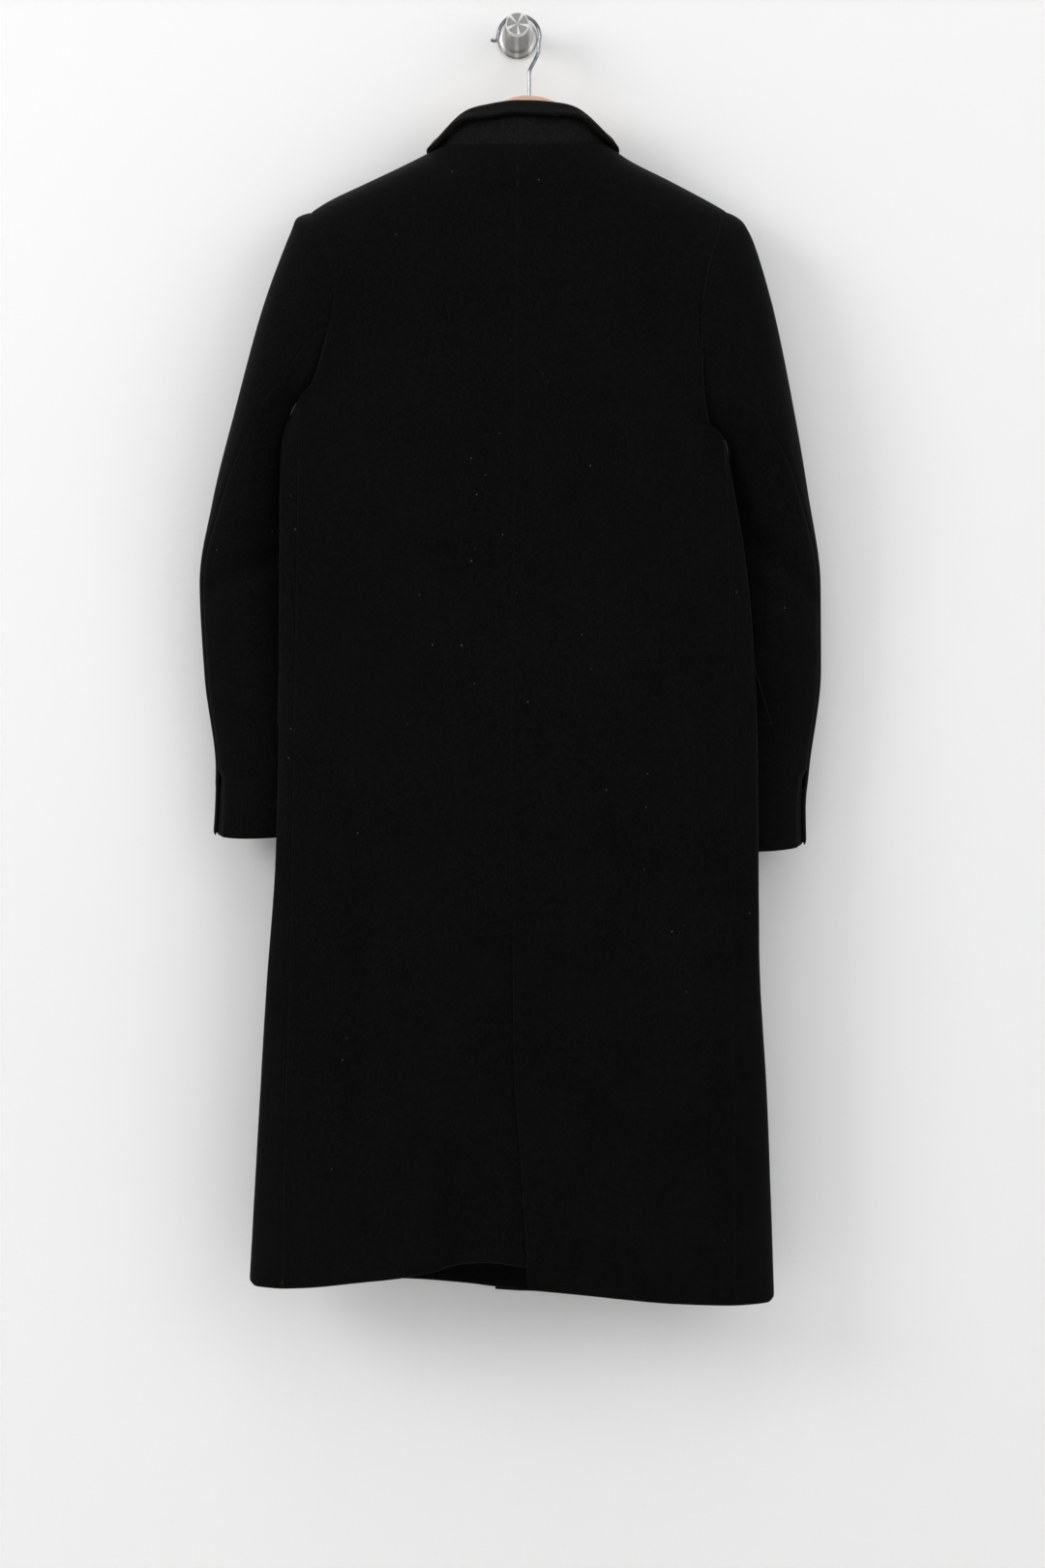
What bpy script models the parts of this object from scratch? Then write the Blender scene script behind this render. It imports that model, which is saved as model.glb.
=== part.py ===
"""Long black wool overcoat on a wooden hanger, hung by the hanger's hook on a brushed wall knob.

The wall is the plane y = 0, the origin is the centre of the knob's back face, and +Z is up. The
coat's back faces -Y and its front faces the wall, so everything lies at negative y. Left and right
are the wearer's, which are also the left (-X) and right (+X) of the back view.
"""

import math
from dataclasses import dataclass

import bmesh
import bpy
import numpy as np
from mathutils import Matrix, Vector

# Cloth, in metres
CLOTH = 0.0022
COLLAR_CLOTH = 0.0017
SEAM_GAP = 0.0003
LAP_STEP = 0.0031
SIDES = {"left": -1, "right": 1}

# Shoulders and armholes
RIDGE_Y = -0.047
ARMPIT_Y = -0.072
ARMHOLE_HALF_DEPTH = 0.045
ARMHOLE_STEPS = 10
CENTRE_ARM_Z = -0.383
SHOULDER_TIP = {"left": (0.2016, -0.1820), "right": (0.2045, -0.1815)}
ARMPIT = {"left": (0.2125, -0.3655), "right": (0.2005, -0.4034)}
SIDE_NECK = {"left": (0.0780, -0.1200), "right": (0.0890, -0.1175)}  # distance from x = 0, height
ARMHOLE_X = {
    # height from armpit to tip, distance from x = 0
    "left": ((0.0, 0.2125), (0.06, 0.1985), (0.30, 0.1838), (0.52, 0.1757), (0.70, 0.1810), (1.0, 0.2016)),
    "right": ((0.0, 0.2005), (0.05, 0.1855), (0.24, 0.1790), (0.50, 0.1782), (0.70, 0.1845), (1.0, 0.2045)),
}
SHOULDER_LINE = {
    # distance from x = 0, height of the ridge
    "left": ((0.0780, -0.1200), (0.1087, -0.1355), (0.1466, -0.1535), (0.1845, -0.1715), (0.2016, -0.1820)),
    "right": ((0.0890, -0.1175), (0.1092, -0.1315), (0.1471, -0.1507), (0.1850, -0.1706), (0.2045, -0.1815)),
}

# Neckline: turn 0 at the centre back, 90 at the side of the neck, 180 at the centre front
NECK_BACK_Y = -0.088
NECK_FRONT_Y = -0.022
NECK_FRONT_Z = -0.205
BACK_NECK_TURNS = (0.0, 3.0, 24.0, 46.0, 68.0, 90.0)
FRONT_NECK_TURNS = (90.0, 104.0, 118.0, 132.0, 146.0, 160.0, 180.0)

# Body, with one row for each height or each drop below the armpit
CENTRE_FRONT_X = 0.003
CENTRE_BACK = (
    # height, x, y
    (-0.1234, 0.0004, -0.088),
    (-0.2000, 0.0000, -0.103),
    (-0.3000, -0.0008, -0.110),
    (-0.4360, -0.0024, -0.113),
    (-0.7320, -0.0061, -0.114),
    (-0.9030, -0.0046, -0.117),
    (-1.0100, -0.0033, -0.119),
    (-1.1000, 0.0032, -0.121),
    (-1.2238, 0.0105, -0.123),
)
CHEST_BACK_Y = (-0.1125, -0.1045)  # at the centre, at the armhole
CHEST_FRONT_Y = -0.016
CHEST_SHARE = 0.55
CENTRE_FRONT = ((-0.205, -0.022), (-0.300, -0.018), (-0.500, -0.015), (-1.000, -0.015), (-1.243, -0.019))
BODY_EDGE = {
    # height, outer edge, side seam as distances from x = 0
    "left": (
        (-0.3655, 0.2125, 0.2125),
        (-0.4100, 0.2275, 0.2115),
        (-0.4700, 0.2295, 0.2120),
        (-0.6750, 0.2300, 0.2155),
        (-0.8060, 0.2330, 0.2175),
        (-0.9370, 0.2426, 0.2200),
        (-1.0860, 0.2515, 0.2250),
        (-1.2250, 0.2594, 0.2266),
    ),
    "right": (
        (-0.4034, 0.2005, 0.2005),
        (-0.4515, 0.2085, 0.2030),
        (-0.5075, 0.2178, 0.2043),
        (-0.5820, 0.2262, 0.2052),
        (-0.6940, 0.2317, 0.2060),
        (-0.9000, 0.2337, 0.2075),
        (-1.0500, 0.2418, 0.2090),
        (-1.2405, 0.2488, 0.2106),
    ),
}
SIDE_DEPTH = (
    # drop below the armpit, y of the edge, depth of the fold there, where the front steps out: from, to
    (0.00, -0.072, 0.006, 0.190, 0.120),
    (0.05, -0.087, 0.008, 0.190, 0.125),
    (0.12, -0.090, 0.009, 0.190, 0.130),
    (0.42, -0.091, 0.009, 0.188, 0.130),
    (0.55, -0.084, 0.014, 0.215, 0.120),
    (0.86, -0.078, 0.020, 0.230, 0.100),
)
HEM_BACK = {
    # x, height: the left back rises towards the vent, where it is drawn up under the right back
    "left": (
        (-0.2266, -1.2250),
        (-0.1900, -1.2225),
        (-0.1450, -1.2165),
        (-0.0810, -1.2072),
        (-0.0550, -1.1995),
        (-0.0280, -1.1976),
        (0.0100, -1.2025),
        (0.0500, -1.2050),
    ),
    "right": ((-0.0100, -1.2225), (0.0105, -1.2238), (0.0975, -1.2325), (0.1974, -1.2400), (0.2106, -1.2405)),
}
HEM_FRONT = {
    "left": ((-0.2266, -1.2250), (-0.1000, -1.2300), (0.0300, -1.2425)),
    "right": ((-0.0300, -1.2395), (0.0098, -1.2418), (0.1200, -1.2430), (0.2106, -1.2405)),
}
LOWER_SHARES = (
    *(0.0, 0.018, 0.042, 0.075, 0.12, 0.17, 0.23, 0.30, 0.37, 0.44, 0.51, 0.57, 0.60, 0.6214),
    *(0.657, 0.71, 0.78, 0.85, 0.92, 0.97, 1.0),
)
BACK_COLUMNS = (0.0, 0.02, 0.10, 0.19, 0.29, 0.39, 0.49, 0.58, 0.67, 0.76, 0.85, 0.93, 1.0)
FRONT_COLUMNS = (0.0, 0.024, 0.045, 0.066, 0.10, 0.16, 0.23, 0.31, 0.40, 0.51, 0.65, 0.82, 1.0)
DRAPES = (
    # soft upright folds of the back: x at the hem, half width, depth, height where it starts
    (-0.178, 0.026, 0.0045, -0.95),
    (-0.118, 0.024, -0.0040, -1.02),
    (-0.070, 0.024, 0.0035, -0.98),
    (0.070, 0.030, 0.0025, -0.90),
    (0.140, 0.030, -0.0030, -0.98),
)

# Centre-back vent and centre-front lap
VENT_TOP_Z = -0.9050
VENT_STEP_START_Z = -0.8870
VENT_SLANT = 0.0295
VENT_UNDERLAP = 0.040
FRONT_LAP = 0.025
LAP_REACH = 0.027
LAP_BLEND = 0.020

# Sleeves: one row for each ring from the armhole (0) to the cuff (16)
SLEEVE_RINGS = (0, 1, 2, 3, 4, 5, 6, 7, 8, 8.8, 9.4, 10, 10.6, 11.2, 12, 13, 14, 14.3, 14.6, 15.3, 16)
SLEEVE_LIMB = {
    # ring, outer x, outer z, inner x, inner z
    "left": (
        (0, 0.2016, -0.1820, 0.2125, -0.3655),
        (1, 0.2155, -0.1875, 0.2165, -0.3705),
        (2, 0.2215, -0.2020, 0.2190, -0.3740),
        (4, 0.2475, -0.2740, 0.2230, -0.3825),
        (6, 0.2742, -0.3719, 0.2240, -0.4030),
        (8, 0.2980, -0.4660, 0.2180, -0.4600),
        (10, 0.3111, -0.5450, 0.2060, -0.5400),
        (12, 0.3064, -0.6370, 0.2010, -0.6370),
        (14, 0.2955, -0.7250, 0.1995, -0.7250),
        (15, 0.2962, -0.7600, 0.1990, -0.7560),
        (16, 0.2980, -0.7890, 0.1990, -0.7850),
    ),
    "right": (
        (0, 0.2045, -0.1815, 0.2005, -0.4034),
        (1, 0.2180, -0.1890, 0.2040, -0.4080),
        (2, 0.2265, -0.2020, 0.2066, -0.4110),
        (4, 0.2475, -0.2690, 0.2060, -0.4180),
        (6, 0.2680, -0.3660, 0.2057, -0.4320),
        (8, 0.2840, -0.4570, 0.2066, -0.4720),
        (10, 0.2968, -0.5450, 0.2040, -0.5450),
        (12, 0.2975, -0.6300, 0.1985, -0.6300),
        (14, 0.2860, -0.7250, 0.1890, -0.7250),
        (15, 0.2826, -0.7650, 0.1860, -0.7650),
        (16, 0.2832, -0.7985, 0.1860, -0.8010),
    ),
}
SLEEVE_BODY = (
    # ring, middle y, half depth, bow of the ring towards the chest, hollow of the inner back quarter
    (0, -0.0595, 0.0450, 0.030, 0.000),
    (1, -0.0590, 0.0455, 0.026, 0.000),
    (2, -0.0585, 0.0455, 0.022, 0.000),
    (4, -0.0570, 0.0440, 0.010, 0.000),
    (6, -0.0550, 0.0420, 0.000, 0.004),
    (8, -0.0520, 0.0385, 0.000, 0.008),
    (10, -0.0470, 0.0335, 0.000, 0.005),
    (12, -0.0440, 0.0310, 0.000, 0.000),
    (16, -0.0440, 0.0310, 0.000, 0.000),
)
SLEEVE_SEAMS = (
    # ring, turn of the elbow seam and of the inner seam round the ring, in degrees from its outer point
    (0, 108.0, 252.0),
    (4, 108.0, 248.0),
    (6.5, 72.0, 226.0),
    (7.5, 52.0, 216.0),
    (8.5, 38.0, 208.0),
    (10, 24.0, 200.0),
    (16, 18.0, 196.0),
)
TOP_SLEEVE_STEPS = 12
UNDER_SLEEVE_STEPS = 8
CUFF_STEP_RING = 14.3
CUFF_VENT_RING = 14.45
CUFF_VENT_TURN = 14.0
CUFF_VENT_STEP = 0.0034
CUFF_SAG = 0.007
ELBOW_FOLDS = {
    # inner end x and z, outer end x and z, depth, half width
    "left": ((-0.226, -0.519, -0.300, -0.548, 0.0075, 0.013), (-0.232, -0.590, -0.296, -0.575, -0.003, 0.016)),
    "right": ((0.236, -0.510, 0.286, -0.556, 0.0085, 0.013), (0.228, -0.585, 0.290, -0.590, -0.003, 0.016)),
}

# Collar: one row for each turn round the neckline
COLLAR_RISE = (
    # turn (the left side's below 0), lean off the cloth, stand, radius of the roll, dip of the fall, fall
    (-180.0, 28.0, 0.0070, 0.0040, -1.0, 0.0500),
    (-146.0, 30.0, 0.0070, 0.0040, -2.0, 0.0440),
    (-118.0, 42.0, 0.0055, 0.0040, -5.0, 0.0260),
    (-104.0, 56.0, 0.0042, 0.0037, -12.0, 0.0160),
    (-90.0, 64.0, 0.0026, 0.0034, -26.0, 0.0098),
    (-70.0, 47.4, 0.0054, 0.0036, -20.0, 0.0092),
    (-50.0, 21.2, 0.0287, 0.0036, 0.0, 0.0120),
    (-30.0, 5.4, 0.0404, 0.0036, 6.0, 0.0145),
    (-24.0, 4.2, 0.0413, 0.0036, 6.0, 0.0146),
    (-3.0, 2.2, 0.0447, 0.0036, 6.0, 0.0150),
    (3.0, 2.2, 0.0447, 0.0036, 6.0, 0.0150),
    (24.0, 5.2, 0.0430, 0.0036, 6.0, 0.0146),
    (30.0, 6.4, 0.0423, 0.0036, 6.0, 0.0145),
    (50.0, 22.9, 0.0306, 0.0036, 0.0, 0.0120),
    (70.0, 47.5, 0.0068, 0.0036, -20.0, 0.0092),
    (90.0, 64.0, 0.0024, 0.0034, -26.0, 0.0098),
    (104.0, 56.0, 0.0042, 0.0037, -12.0, 0.0160),
    (118.0, 42.0, 0.0055, 0.0040, -5.0, 0.0260),
    (146.0, 30.0, 0.0070, 0.0040, -2.0, 0.0440),
    (180.0, 28.0, 0.0070, 0.0040, -1.0, 0.0500),
)
COLLAR_STAND_STEPS = 3
COLLAR_ROLL_STEPS = 5
COLLAR_FALL_STEPS = 3
COLLAR_FRONT_GAP = 0.004

# Pocket flaps and buttons
FLAP_HEIGHTS = (-0.632, -0.649, -0.667, -0.684)
FLAP_COLUMNS = (4, 10)
FLAP_CLEARANCE = 0.0010
FLAP_REAR = {
    # how far from x = 0 the free rear end stands, at the top and at the bottom
    "left": (0.2305, 0.2322),
    "right": (0.2290, 0.2453),
}
FLAP_FLARE_COLUMNS = 2
BUTTON_RADIUS = 0.0125
BUTTON_THICKNESS = 0.0045
BUTTON_HEIGHTS = (-0.285, -0.400, -0.515, -0.630, -0.745)

# Hanger
HANGER_Y = -0.0505
HANGER_CENTRE_X = 0.0105
HANGER_ENDS = (-0.1750, 0.1945)
HANGER_THICKNESS = 0.010
HANGER_SEAT = 0.0022
HANGER_HUMP = (
    # distance from the hanger's centre, height
    (0.0, -0.0674),
    (0.0125, -0.0688),
    (0.0246, -0.0731),
    (0.036, -0.0800),
    (0.046, -0.0890),
    (0.056, -0.1015),
)
HANGER_NECK_MARGIN = 0.014
HANGER_DEPTH = ((0.0, 0.062), (0.05, 0.056), (0.09, 0.036), (0.14, 0.026), (0.19, 0.018))
HANGER_ARM_STATIONS = 9
HANGER_HUMP_STATIONS = 24
HANGER_HUMP_REACH = 0.060
HANGER_ROUND_STEPS = 6

# Hook
WIRE_RADIUS = 0.00175
HOOK_HOLE_RADIUS = WIRE_RADIUS + SEAM_GAP
HOOK_HOLE_DEPTH = 0.020
HOOK_LOOP_RADIUS = 0.0203
HOOK_X = 0.0115
HOOK_LOOP_X = 0.0016
HOOK_LOOP_TURNS = (-18, 178)
HOOK_SWAN_BEND = ((0.0115, -0.0550), (0.0118, -0.0440), (0.0165, -0.0345), (0.0205, -0.0255))
HOOK_TIP = ((-0.0206, -0.0142), (-0.0258, -0.0135))

# Wall knob, turned about the Y axis
ROSE_RADIUS = 0.0200
ROSE_THICKNESS = 0.0035
STEM_RADIUS = 0.0085
STEM_START_Y = -0.0350
HEAD_RADIUS = 0.0115
HEAD_BACK_Y = -0.0530
HEAD_FRONT_Y = -0.0600
KNOB_EDGE = 0.0008
KNOB_STEPS = 32


class Profile:
    """Smooth curve through a table's rows, without overshoot: the first column in, the others out."""

    def __init__(self, rows):
        ordered = np.array(sorted(rows), float)
        self.places = ordered[:, 0]
        self.values = ordered[:, 1:]
        slopes = np.diff(self.values, axis=0) / np.diff(self.places)[:, None]
        self.slopes = np.vstack([slopes[:1], np.zeros_like(slopes[1:]), slopes[-1:]])
        before, after = slopes[:-1], slopes[1:]
        rising = before * after > 0
        total = np.where(rising, before + after, 1.0)
        self.slopes[1:-1] = np.where(rising, 2 * before * after / total, 0.0)

    def __call__(self, place):
        place = float(np.clip(place, self.places[0], self.places[-1]))
        row = min(int(np.searchsorted(self.places, place, side="right")), len(self.places) - 1) - 1
        length = self.places[row + 1] - self.places[row]
        t = (place - self.places[row]) / length
        start = (1 + 2 * t) * (1 - t) ** 2 * self.values[row] + t * (1 - t) ** 2 * length * self.slopes[row]
        end = t * t * (3 - 2 * t) * self.values[row + 1] - t * t * (1 - t) * length * self.slopes[row + 1]
        found = start + end
        return float(found[0]) if len(found) == 1 else found


@dataclass
class Panel:
    """One cut piece: a grid of points on its outer face, row by row, and the sides that are sewn."""

    name: str
    points: np.ndarray
    turned: bool
    sewn: tuple


def blend(start, end, amount):
    return start + (end - start) * amount


def ease(amount):
    amount = min(max(amount, 0.0), 1.0)
    return amount * amount * (3 - 2 * amount)


def unit(vectors):
    return vectors / np.linalg.norm(vectors, axis=-1, keepdims=True)


CENTRE_BACK_AT = Profile(CENTRE_BACK)
CENTRE_FRONT_AT = Profile(CENTRE_FRONT)
SIDE_DEPTH_AT = Profile(SIDE_DEPTH)
EDGE_AT = {name: Profile(rows) for name, rows in BODY_EDGE.items()}
ARMHOLE_AT = {name: Profile(rows) for name, rows in ARMHOLE_X.items()}
SHOULDER_AT = {name: Profile(rows) for name, rows in SHOULDER_LINE.items()}
HEM_BACK_AT = {name: Profile(rows) for name, rows in HEM_BACK.items()}
HEM_FRONT_AT = {name: Profile(rows) for name, rows in HEM_FRONT.items()}


def armhole_height(turn):
    """Height up the armhole, 0 to 1, at a turn in degrees from the shoulder tip."""
    return (1 + math.cos(math.radians(turn))) / 2


def armhole_point(side, turn):
    """Point on the armhole seam: turn 0 at the shoulder tip, 90 at the back, 180 in the armpit."""
    height = armhole_height(turn)
    x = SIDES[side] * ARMHOLE_AT[side](height)
    y = blend(ARMPIT_Y, RIDGE_Y, height) - ARMHOLE_HALF_DEPTH * math.sin(math.radians(turn))
    z = blend(ARMPIT[side][1], SHOULDER_TIP[side][1], height)
    return np.array((x, y, z))


def armhole_turn(step):
    """Turn of an armhole row: step 0 in the armpit, ARMHOLE_STEPS at the tip."""
    return 180.0 * (1 - step / ARMHOLE_STEPS)


def neck_point(side, turn):
    """Point on the neckline, from the centre back (0) past the side of the neck (90) to the front (180)."""
    angle = math.radians(turn)
    neck_x, neck_z = SIDE_NECK[side]
    side_x = SIDES[side] * neck_x
    if turn <= 90:
        x = blend(CENTRE_BACK[0][1], side_x, math.sin(angle))
        y = blend(RIDGE_Y, NECK_BACK_Y, math.cos(angle))
        z = blend(CENTRE_BACK[0][0], neck_z, math.sin(angle) ** 2)
    else:
        x = blend(side_x, CENTRE_FRONT_X, (turn / 90 - 1) ** 1.25)
        drop = abs(math.cos(angle)) ** 1.3
        y = blend(RIDGE_Y, NECK_FRONT_Y, drop**0.3)
        z = blend(neck_z, NECK_FRONT_Z, drop)
    return np.array((x, y, z))


def shoulder_point(side, share):
    """Point on the shoulder seam: share 0 at the neck, 1 at the tip."""
    distance = blend(SIDE_NECK[side][0], SHOULDER_TIP[side][0], share)
    return np.array((SIDES[side] * distance, RIDGE_Y, SHOULDER_AT[side](distance)))


def drape(x, z):
    """How far the back's soft upright folds move its face towards the wall."""
    moved = 0.0
    for centre, half_width, depth, start_z in DRAPES:
        grown = ease((start_z - z) / (start_z - HEM_BACK["right"][-1][1]))
        moved += depth * grown * math.exp(-(((x - centre) / half_width) ** 2))
    return moved


class BodyLevel:
    """The coat's body at one level below the armpits: share 0 at the armpit, 1 at the hem."""

    def __init__(self, side, share):
        self.side = side
        self.sign = SIDES[side]
        self.share = share
        self.side_z = blend(ARMPIT[side][1], BODY_EDGE[side][-1][0], share)
        self.back_z = blend(CENTRE_ARM_Z, CENTRE_BACK[-1][0], share)
        self.front_z = blend(CENTRE_ARM_Z, HEM_FRONT_AT[side](CENTRE_FRONT_X), share)
        self.back_x, self.back_y = CENTRE_BACK_AT(self.back_z)
        self.front_y = CENTRE_FRONT_AT(self.front_z)
        edge, seam = EDGE_AT[side](self.side_z)
        self.edge_x, self.seam_x = self.sign * edge, self.sign * seam
        drop = ARMPIT[side][1] - self.side_z
        self.edge_y, self.fold_depth, self.step_from, self.step_to = SIDE_DEPTH_AT(drop)

    def back_face(self, x):
        reach = min((x - self.back_x) / (self.edge_x - self.back_x), 1.0)
        hollow = drape(x, self.back_z) * (1 - max(reach, 0.0) ** 4)
        return blend(self.edge_y, self.back_y, math.sqrt(1 - max(reach, 0.0) ** 4)) + hollow

    def front_face(self, x):
        reach = min(abs((x - CENTRE_FRONT_X) / (self.edge_x - CENTRE_FRONT_X)), 1.0)
        side_y = self.edge_y + self.fold_depth * math.sqrt(1 - reach**10)
        stepped = ease((self.step_from - abs(x)) / (self.step_from - self.step_to))
        return blend(side_y, self.front_y, stepped)

    def height_at(self, x, hem_z):
        """Height of this level's row at x, from a row that tilts to meet each armpit down to the hem."""
        reach = min(abs(x / self.edge_x), 1.0)
        armpit_row = blend(CENTRE_ARM_Z, ARMPIT[self.side][1], reach**2)
        return blend(armpit_row, hem_z, self.share)

    def front_outline(self):
        """Dense outline in plan, from the side seam round the fold to the front's centre."""
        turns = np.linspace(0, math.pi / 2, 60)
        out = [blend(self.seam_x, self.edge_x, math.sin(turn)) for turn in turns]
        back = [blend(CENTRE_FRONT_X, self.edge_x, math.cos(turn)) for turn in np.linspace(0, math.pi / 2, 400)]
        path = [(x, self.back_face(x)) for x in out] + [(x, self.front_face(x)) for x in back[1:]]
        return np.array(path)


def along(path, distance):
    """Point at a distance along a path."""
    steps = np.linalg.norm(np.diff(path, axis=0), axis=1)
    run = np.concatenate([[0.0], np.cumsum(steps)])
    return np.array([np.interp(distance, run, path[:, axis]) for axis in range(path.shape[1])])


def run_to_x(path, x):
    """Distance along a front outline to the place where it reaches x on the wall side."""
    steps = np.linalg.norm(np.diff(path, axis=0), axis=1)
    run = np.concatenate([[0.0], np.cumsum(steps)])
    turn = int(np.argmax(np.abs(path[:, 0])))
    tail = slice(turn, None)
    order = np.argsort(path[tail, 0])
    return float(np.interp(x, path[tail, 0][order], run[tail][order]))


def back_row(side, share):
    """One row of the back panel in plan, with the vent's lap at the centre."""
    level = BodyLevel(side, share)
    opened = ease((VENT_TOP_Z - level.back_z) / VENT_SLANT)
    stepped = ease((VENT_STEP_START_Z - level.back_z) / (VENT_STEP_START_Z - VENT_TOP_Z))
    row = []
    for column in BACK_COLUMNS:
        x = blend(level.back_x, level.seam_x, column)
        y = level.back_face(x)
        if side == "left" and column == 0:
            x += VENT_UNDERLAP * opened
            y = BodyLevel("right", share).back_face(x) + LAP_STEP * stepped
        elif side == "left" and column == BACK_COLUMNS[1]:
            y += LAP_STEP * stepped
        row.append((x, y))
    return level, row


def front_row(side, share):
    """One row of the front panel in plan, from the side seam round the edge to its lapped front edge."""
    level = BodyLevel(side, share)
    path = level.front_outline()
    reach = run_to_x(path, CENTRE_FRONT_X + level.sign * LAP_REACH)
    row = [along(path, column * reach) for column in FRONT_COLUMNS]
    row.append((CENTRE_FRONT_X, level.front_y))
    row.append((CENTRE_FRONT_X - level.sign * FRONT_LAP, level.front_y))
    return level, row


def rows_below(side, make_row, hem_at):
    """Panel rows from the hem up to the armpit row, each column straight from one to the other."""
    heights = [hem_at(x) for x, _ in make_row(side, 1.0)[1]]
    rows = []
    for share in reversed(LOWER_SHARES):
        level, row = make_row(side, share)
        rows.append([(x, y, level.height_at(x, hem)) for (x, y), hem in zip(row, heights)])
    return rows


def lap_left_front(rows):
    """Sets the left front's edge back under the right front, which laps over it."""
    for row in rows:
        for point in row:
            reach = CENTRE_FRONT_X - LAP_REACH - LAP_BLEND
            point[1] -= LAP_STEP * ease((point[0] - reach) / LAP_BLEND)


def rows_above(side, face, armpit_row, top_row, chest_y):
    """Panel rows above the armpit row, up to the neckline and the shoulder seam.

    face is -1 for the back and 1 for the front, and chest_y the depth at half height."""
    tip = SIDES[side] * SHOULDER_TIP[side][0]
    rows = []
    for step in range(1, ARMHOLE_STEPS + 1):
        edge = armhole_point(side, armhole_turn(step))
        if face > 0:
            edge[1] = 2 * blend(ARMPIT_Y, RIDGE_Y, armhole_height(armhole_turn(step))) - edge[1]
        height = armhole_height(armhole_turn(step))
        row = []
        for low, top in zip(armpit_row, top_row):
            level_z = blend(low[2], top[2], height)
            centre_x = CENTRE_BACK_AT(level_z)[0] if face < 0 else CENTRE_FRONT_X
            low_share = (low[0] - centre_x) / (armpit_row[-1][0] - centre_x)
            top_share = (top[0] - centre_x) / (tip - centre_x)
            share = blend(low_share, top_share, ease(height))
            x = centre_x + share * (edge[0] - centre_x)
            # the same curve runs over every column, and the neckline only cuts it off sooner
            cut = 1 - ((top[1] - RIDGE_Y) / (chest_y(share) - RIDGE_Y)) ** 2
            rounding = math.sqrt(max(1 - height**4 * cut, 0.0))
            depth = blend(low[1], chest_y(share), ease(height / CHEST_SHARE))
            row.append([x, blend(RIDGE_Y, depth, rounding), level_z, share])
        missed = edge[1] - row[-1][1]
        rows.append([(x, y + missed * max(share, 0.0) ** 6, z) for x, y, z, share in row])
    return rows


def back_panel(side):
    below = rows_below(side, back_row, HEM_BACK_AT[side])
    neck = [neck_point(side, turn) for turn in BACK_NECK_TURNS]
    shoulder_steps = len(BACK_COLUMNS) - len(BACK_NECK_TURNS)
    shoulder = [shoulder_point(side, (step + 1) / shoulder_steps) for step in range(shoulder_steps)]
    above = rows_above(side, -1, below[-1], neck + shoulder, lambda share: blend(*CHEST_BACK_Y, share**2))
    return Panel(f"back_{side}", np.array(below + above), side == "left", ("last", "top", "first_above_vent"))


def front_panel(side):
    below = rows_below(side, front_row, HEM_FRONT_AT[side])
    neck = [neck_point(side, turn) for turn in FRONT_NECK_TURNS]
    neck.append(neck[-1] - np.array((SIDES[side] * FRONT_LAP, 0.0, 0.0)))
    shoulder_steps = len(below[0]) - len(neck)
    shoulder = [shoulder_point(side, 1 - step / shoulder_steps) for step in range(shoulder_steps)]
    # rows_above measures from the armhole, so the columns run from the front edge outwards there
    armpit_row = below[-1][::-1]
    top_row = (shoulder + neck)[::-1]
    above = [row[::-1] for row in rows_above(side, 1, armpit_row, top_row, lambda share: CHEST_FRONT_Y)]
    points = np.array(below + above)
    if side == "left":
        lap_left_front(points)
    return Panel(f"front_{side}", points, side == "left", ("first", "top"))


def fold_depth(side, x, z):
    """How far the elbow's creases press the back of a sleeve in at a place."""
    pressed = 0.0
    for inner_x, inner_z, outer_x, outer_z, depth, half_width in ELBOW_FOLDS[side]:
        start = np.array((inner_x, inner_z))
        run = np.array((outer_x, outer_z)) - start
        share = float(np.clip(np.dot(np.array((x, z)) - start, run) / np.dot(run, run), 0.0, 1.0))
        away = np.linalg.norm(np.array((x, z)) - start - share * run)
        pressed += depth * math.exp(-((away / half_width) ** 2))
    return pressed


def sleeve_point(side, ring, turn):
    """Point on a sleeve's ring: turn 0 at its outer point, 90 at the back, 180 at its inner point."""
    if ring == 0:
        height = armhole_height(turn)
        point = armhole_point(side, turn)
        if turn % 360 > 180:
            mirrored = armhole_point(side, 360 - turn % 360)
            point = np.array((mirrored[0], 2 * blend(ARMPIT_Y, RIDGE_Y, height) - mirrored[1], mirrored[2]))
        return point
    outer_x, outer_z, inner_x, inner_z = Profile(SLEEVE_LIMB[side])(ring)
    middle_y, half_depth, bow, hollow = Profile(SLEEVE_BODY)(ring)
    cosine, sine = math.cos(math.radians(turn)), math.sin(math.radians(turn))
    middle_y = blend(blend(ARMPIT_Y, RIDGE_Y, (1 + cosine) / 2), middle_y, ease(ring / 5))
    x = SIDES[side] * (blend(inner_x, outer_x, (1 + cosine) / 2) - bow * sine * sine)
    z = blend(inner_z, outer_z, (1 + cosine) / 2)
    y = middle_y - half_depth * sine
    if sine > 0:
        y += fold_depth(side, x, z) * sine
        y += hollow * max(-2 * sine * cosine, 0.0)
    z -= CUFF_SAG * ease((ring - SLEEVE_RINGS[-2]) / (SLEEVE_RINGS[-1] - SLEEVE_RINGS[-2])) * max(sine, 0.0)
    return np.array((x, y, z))


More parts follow.
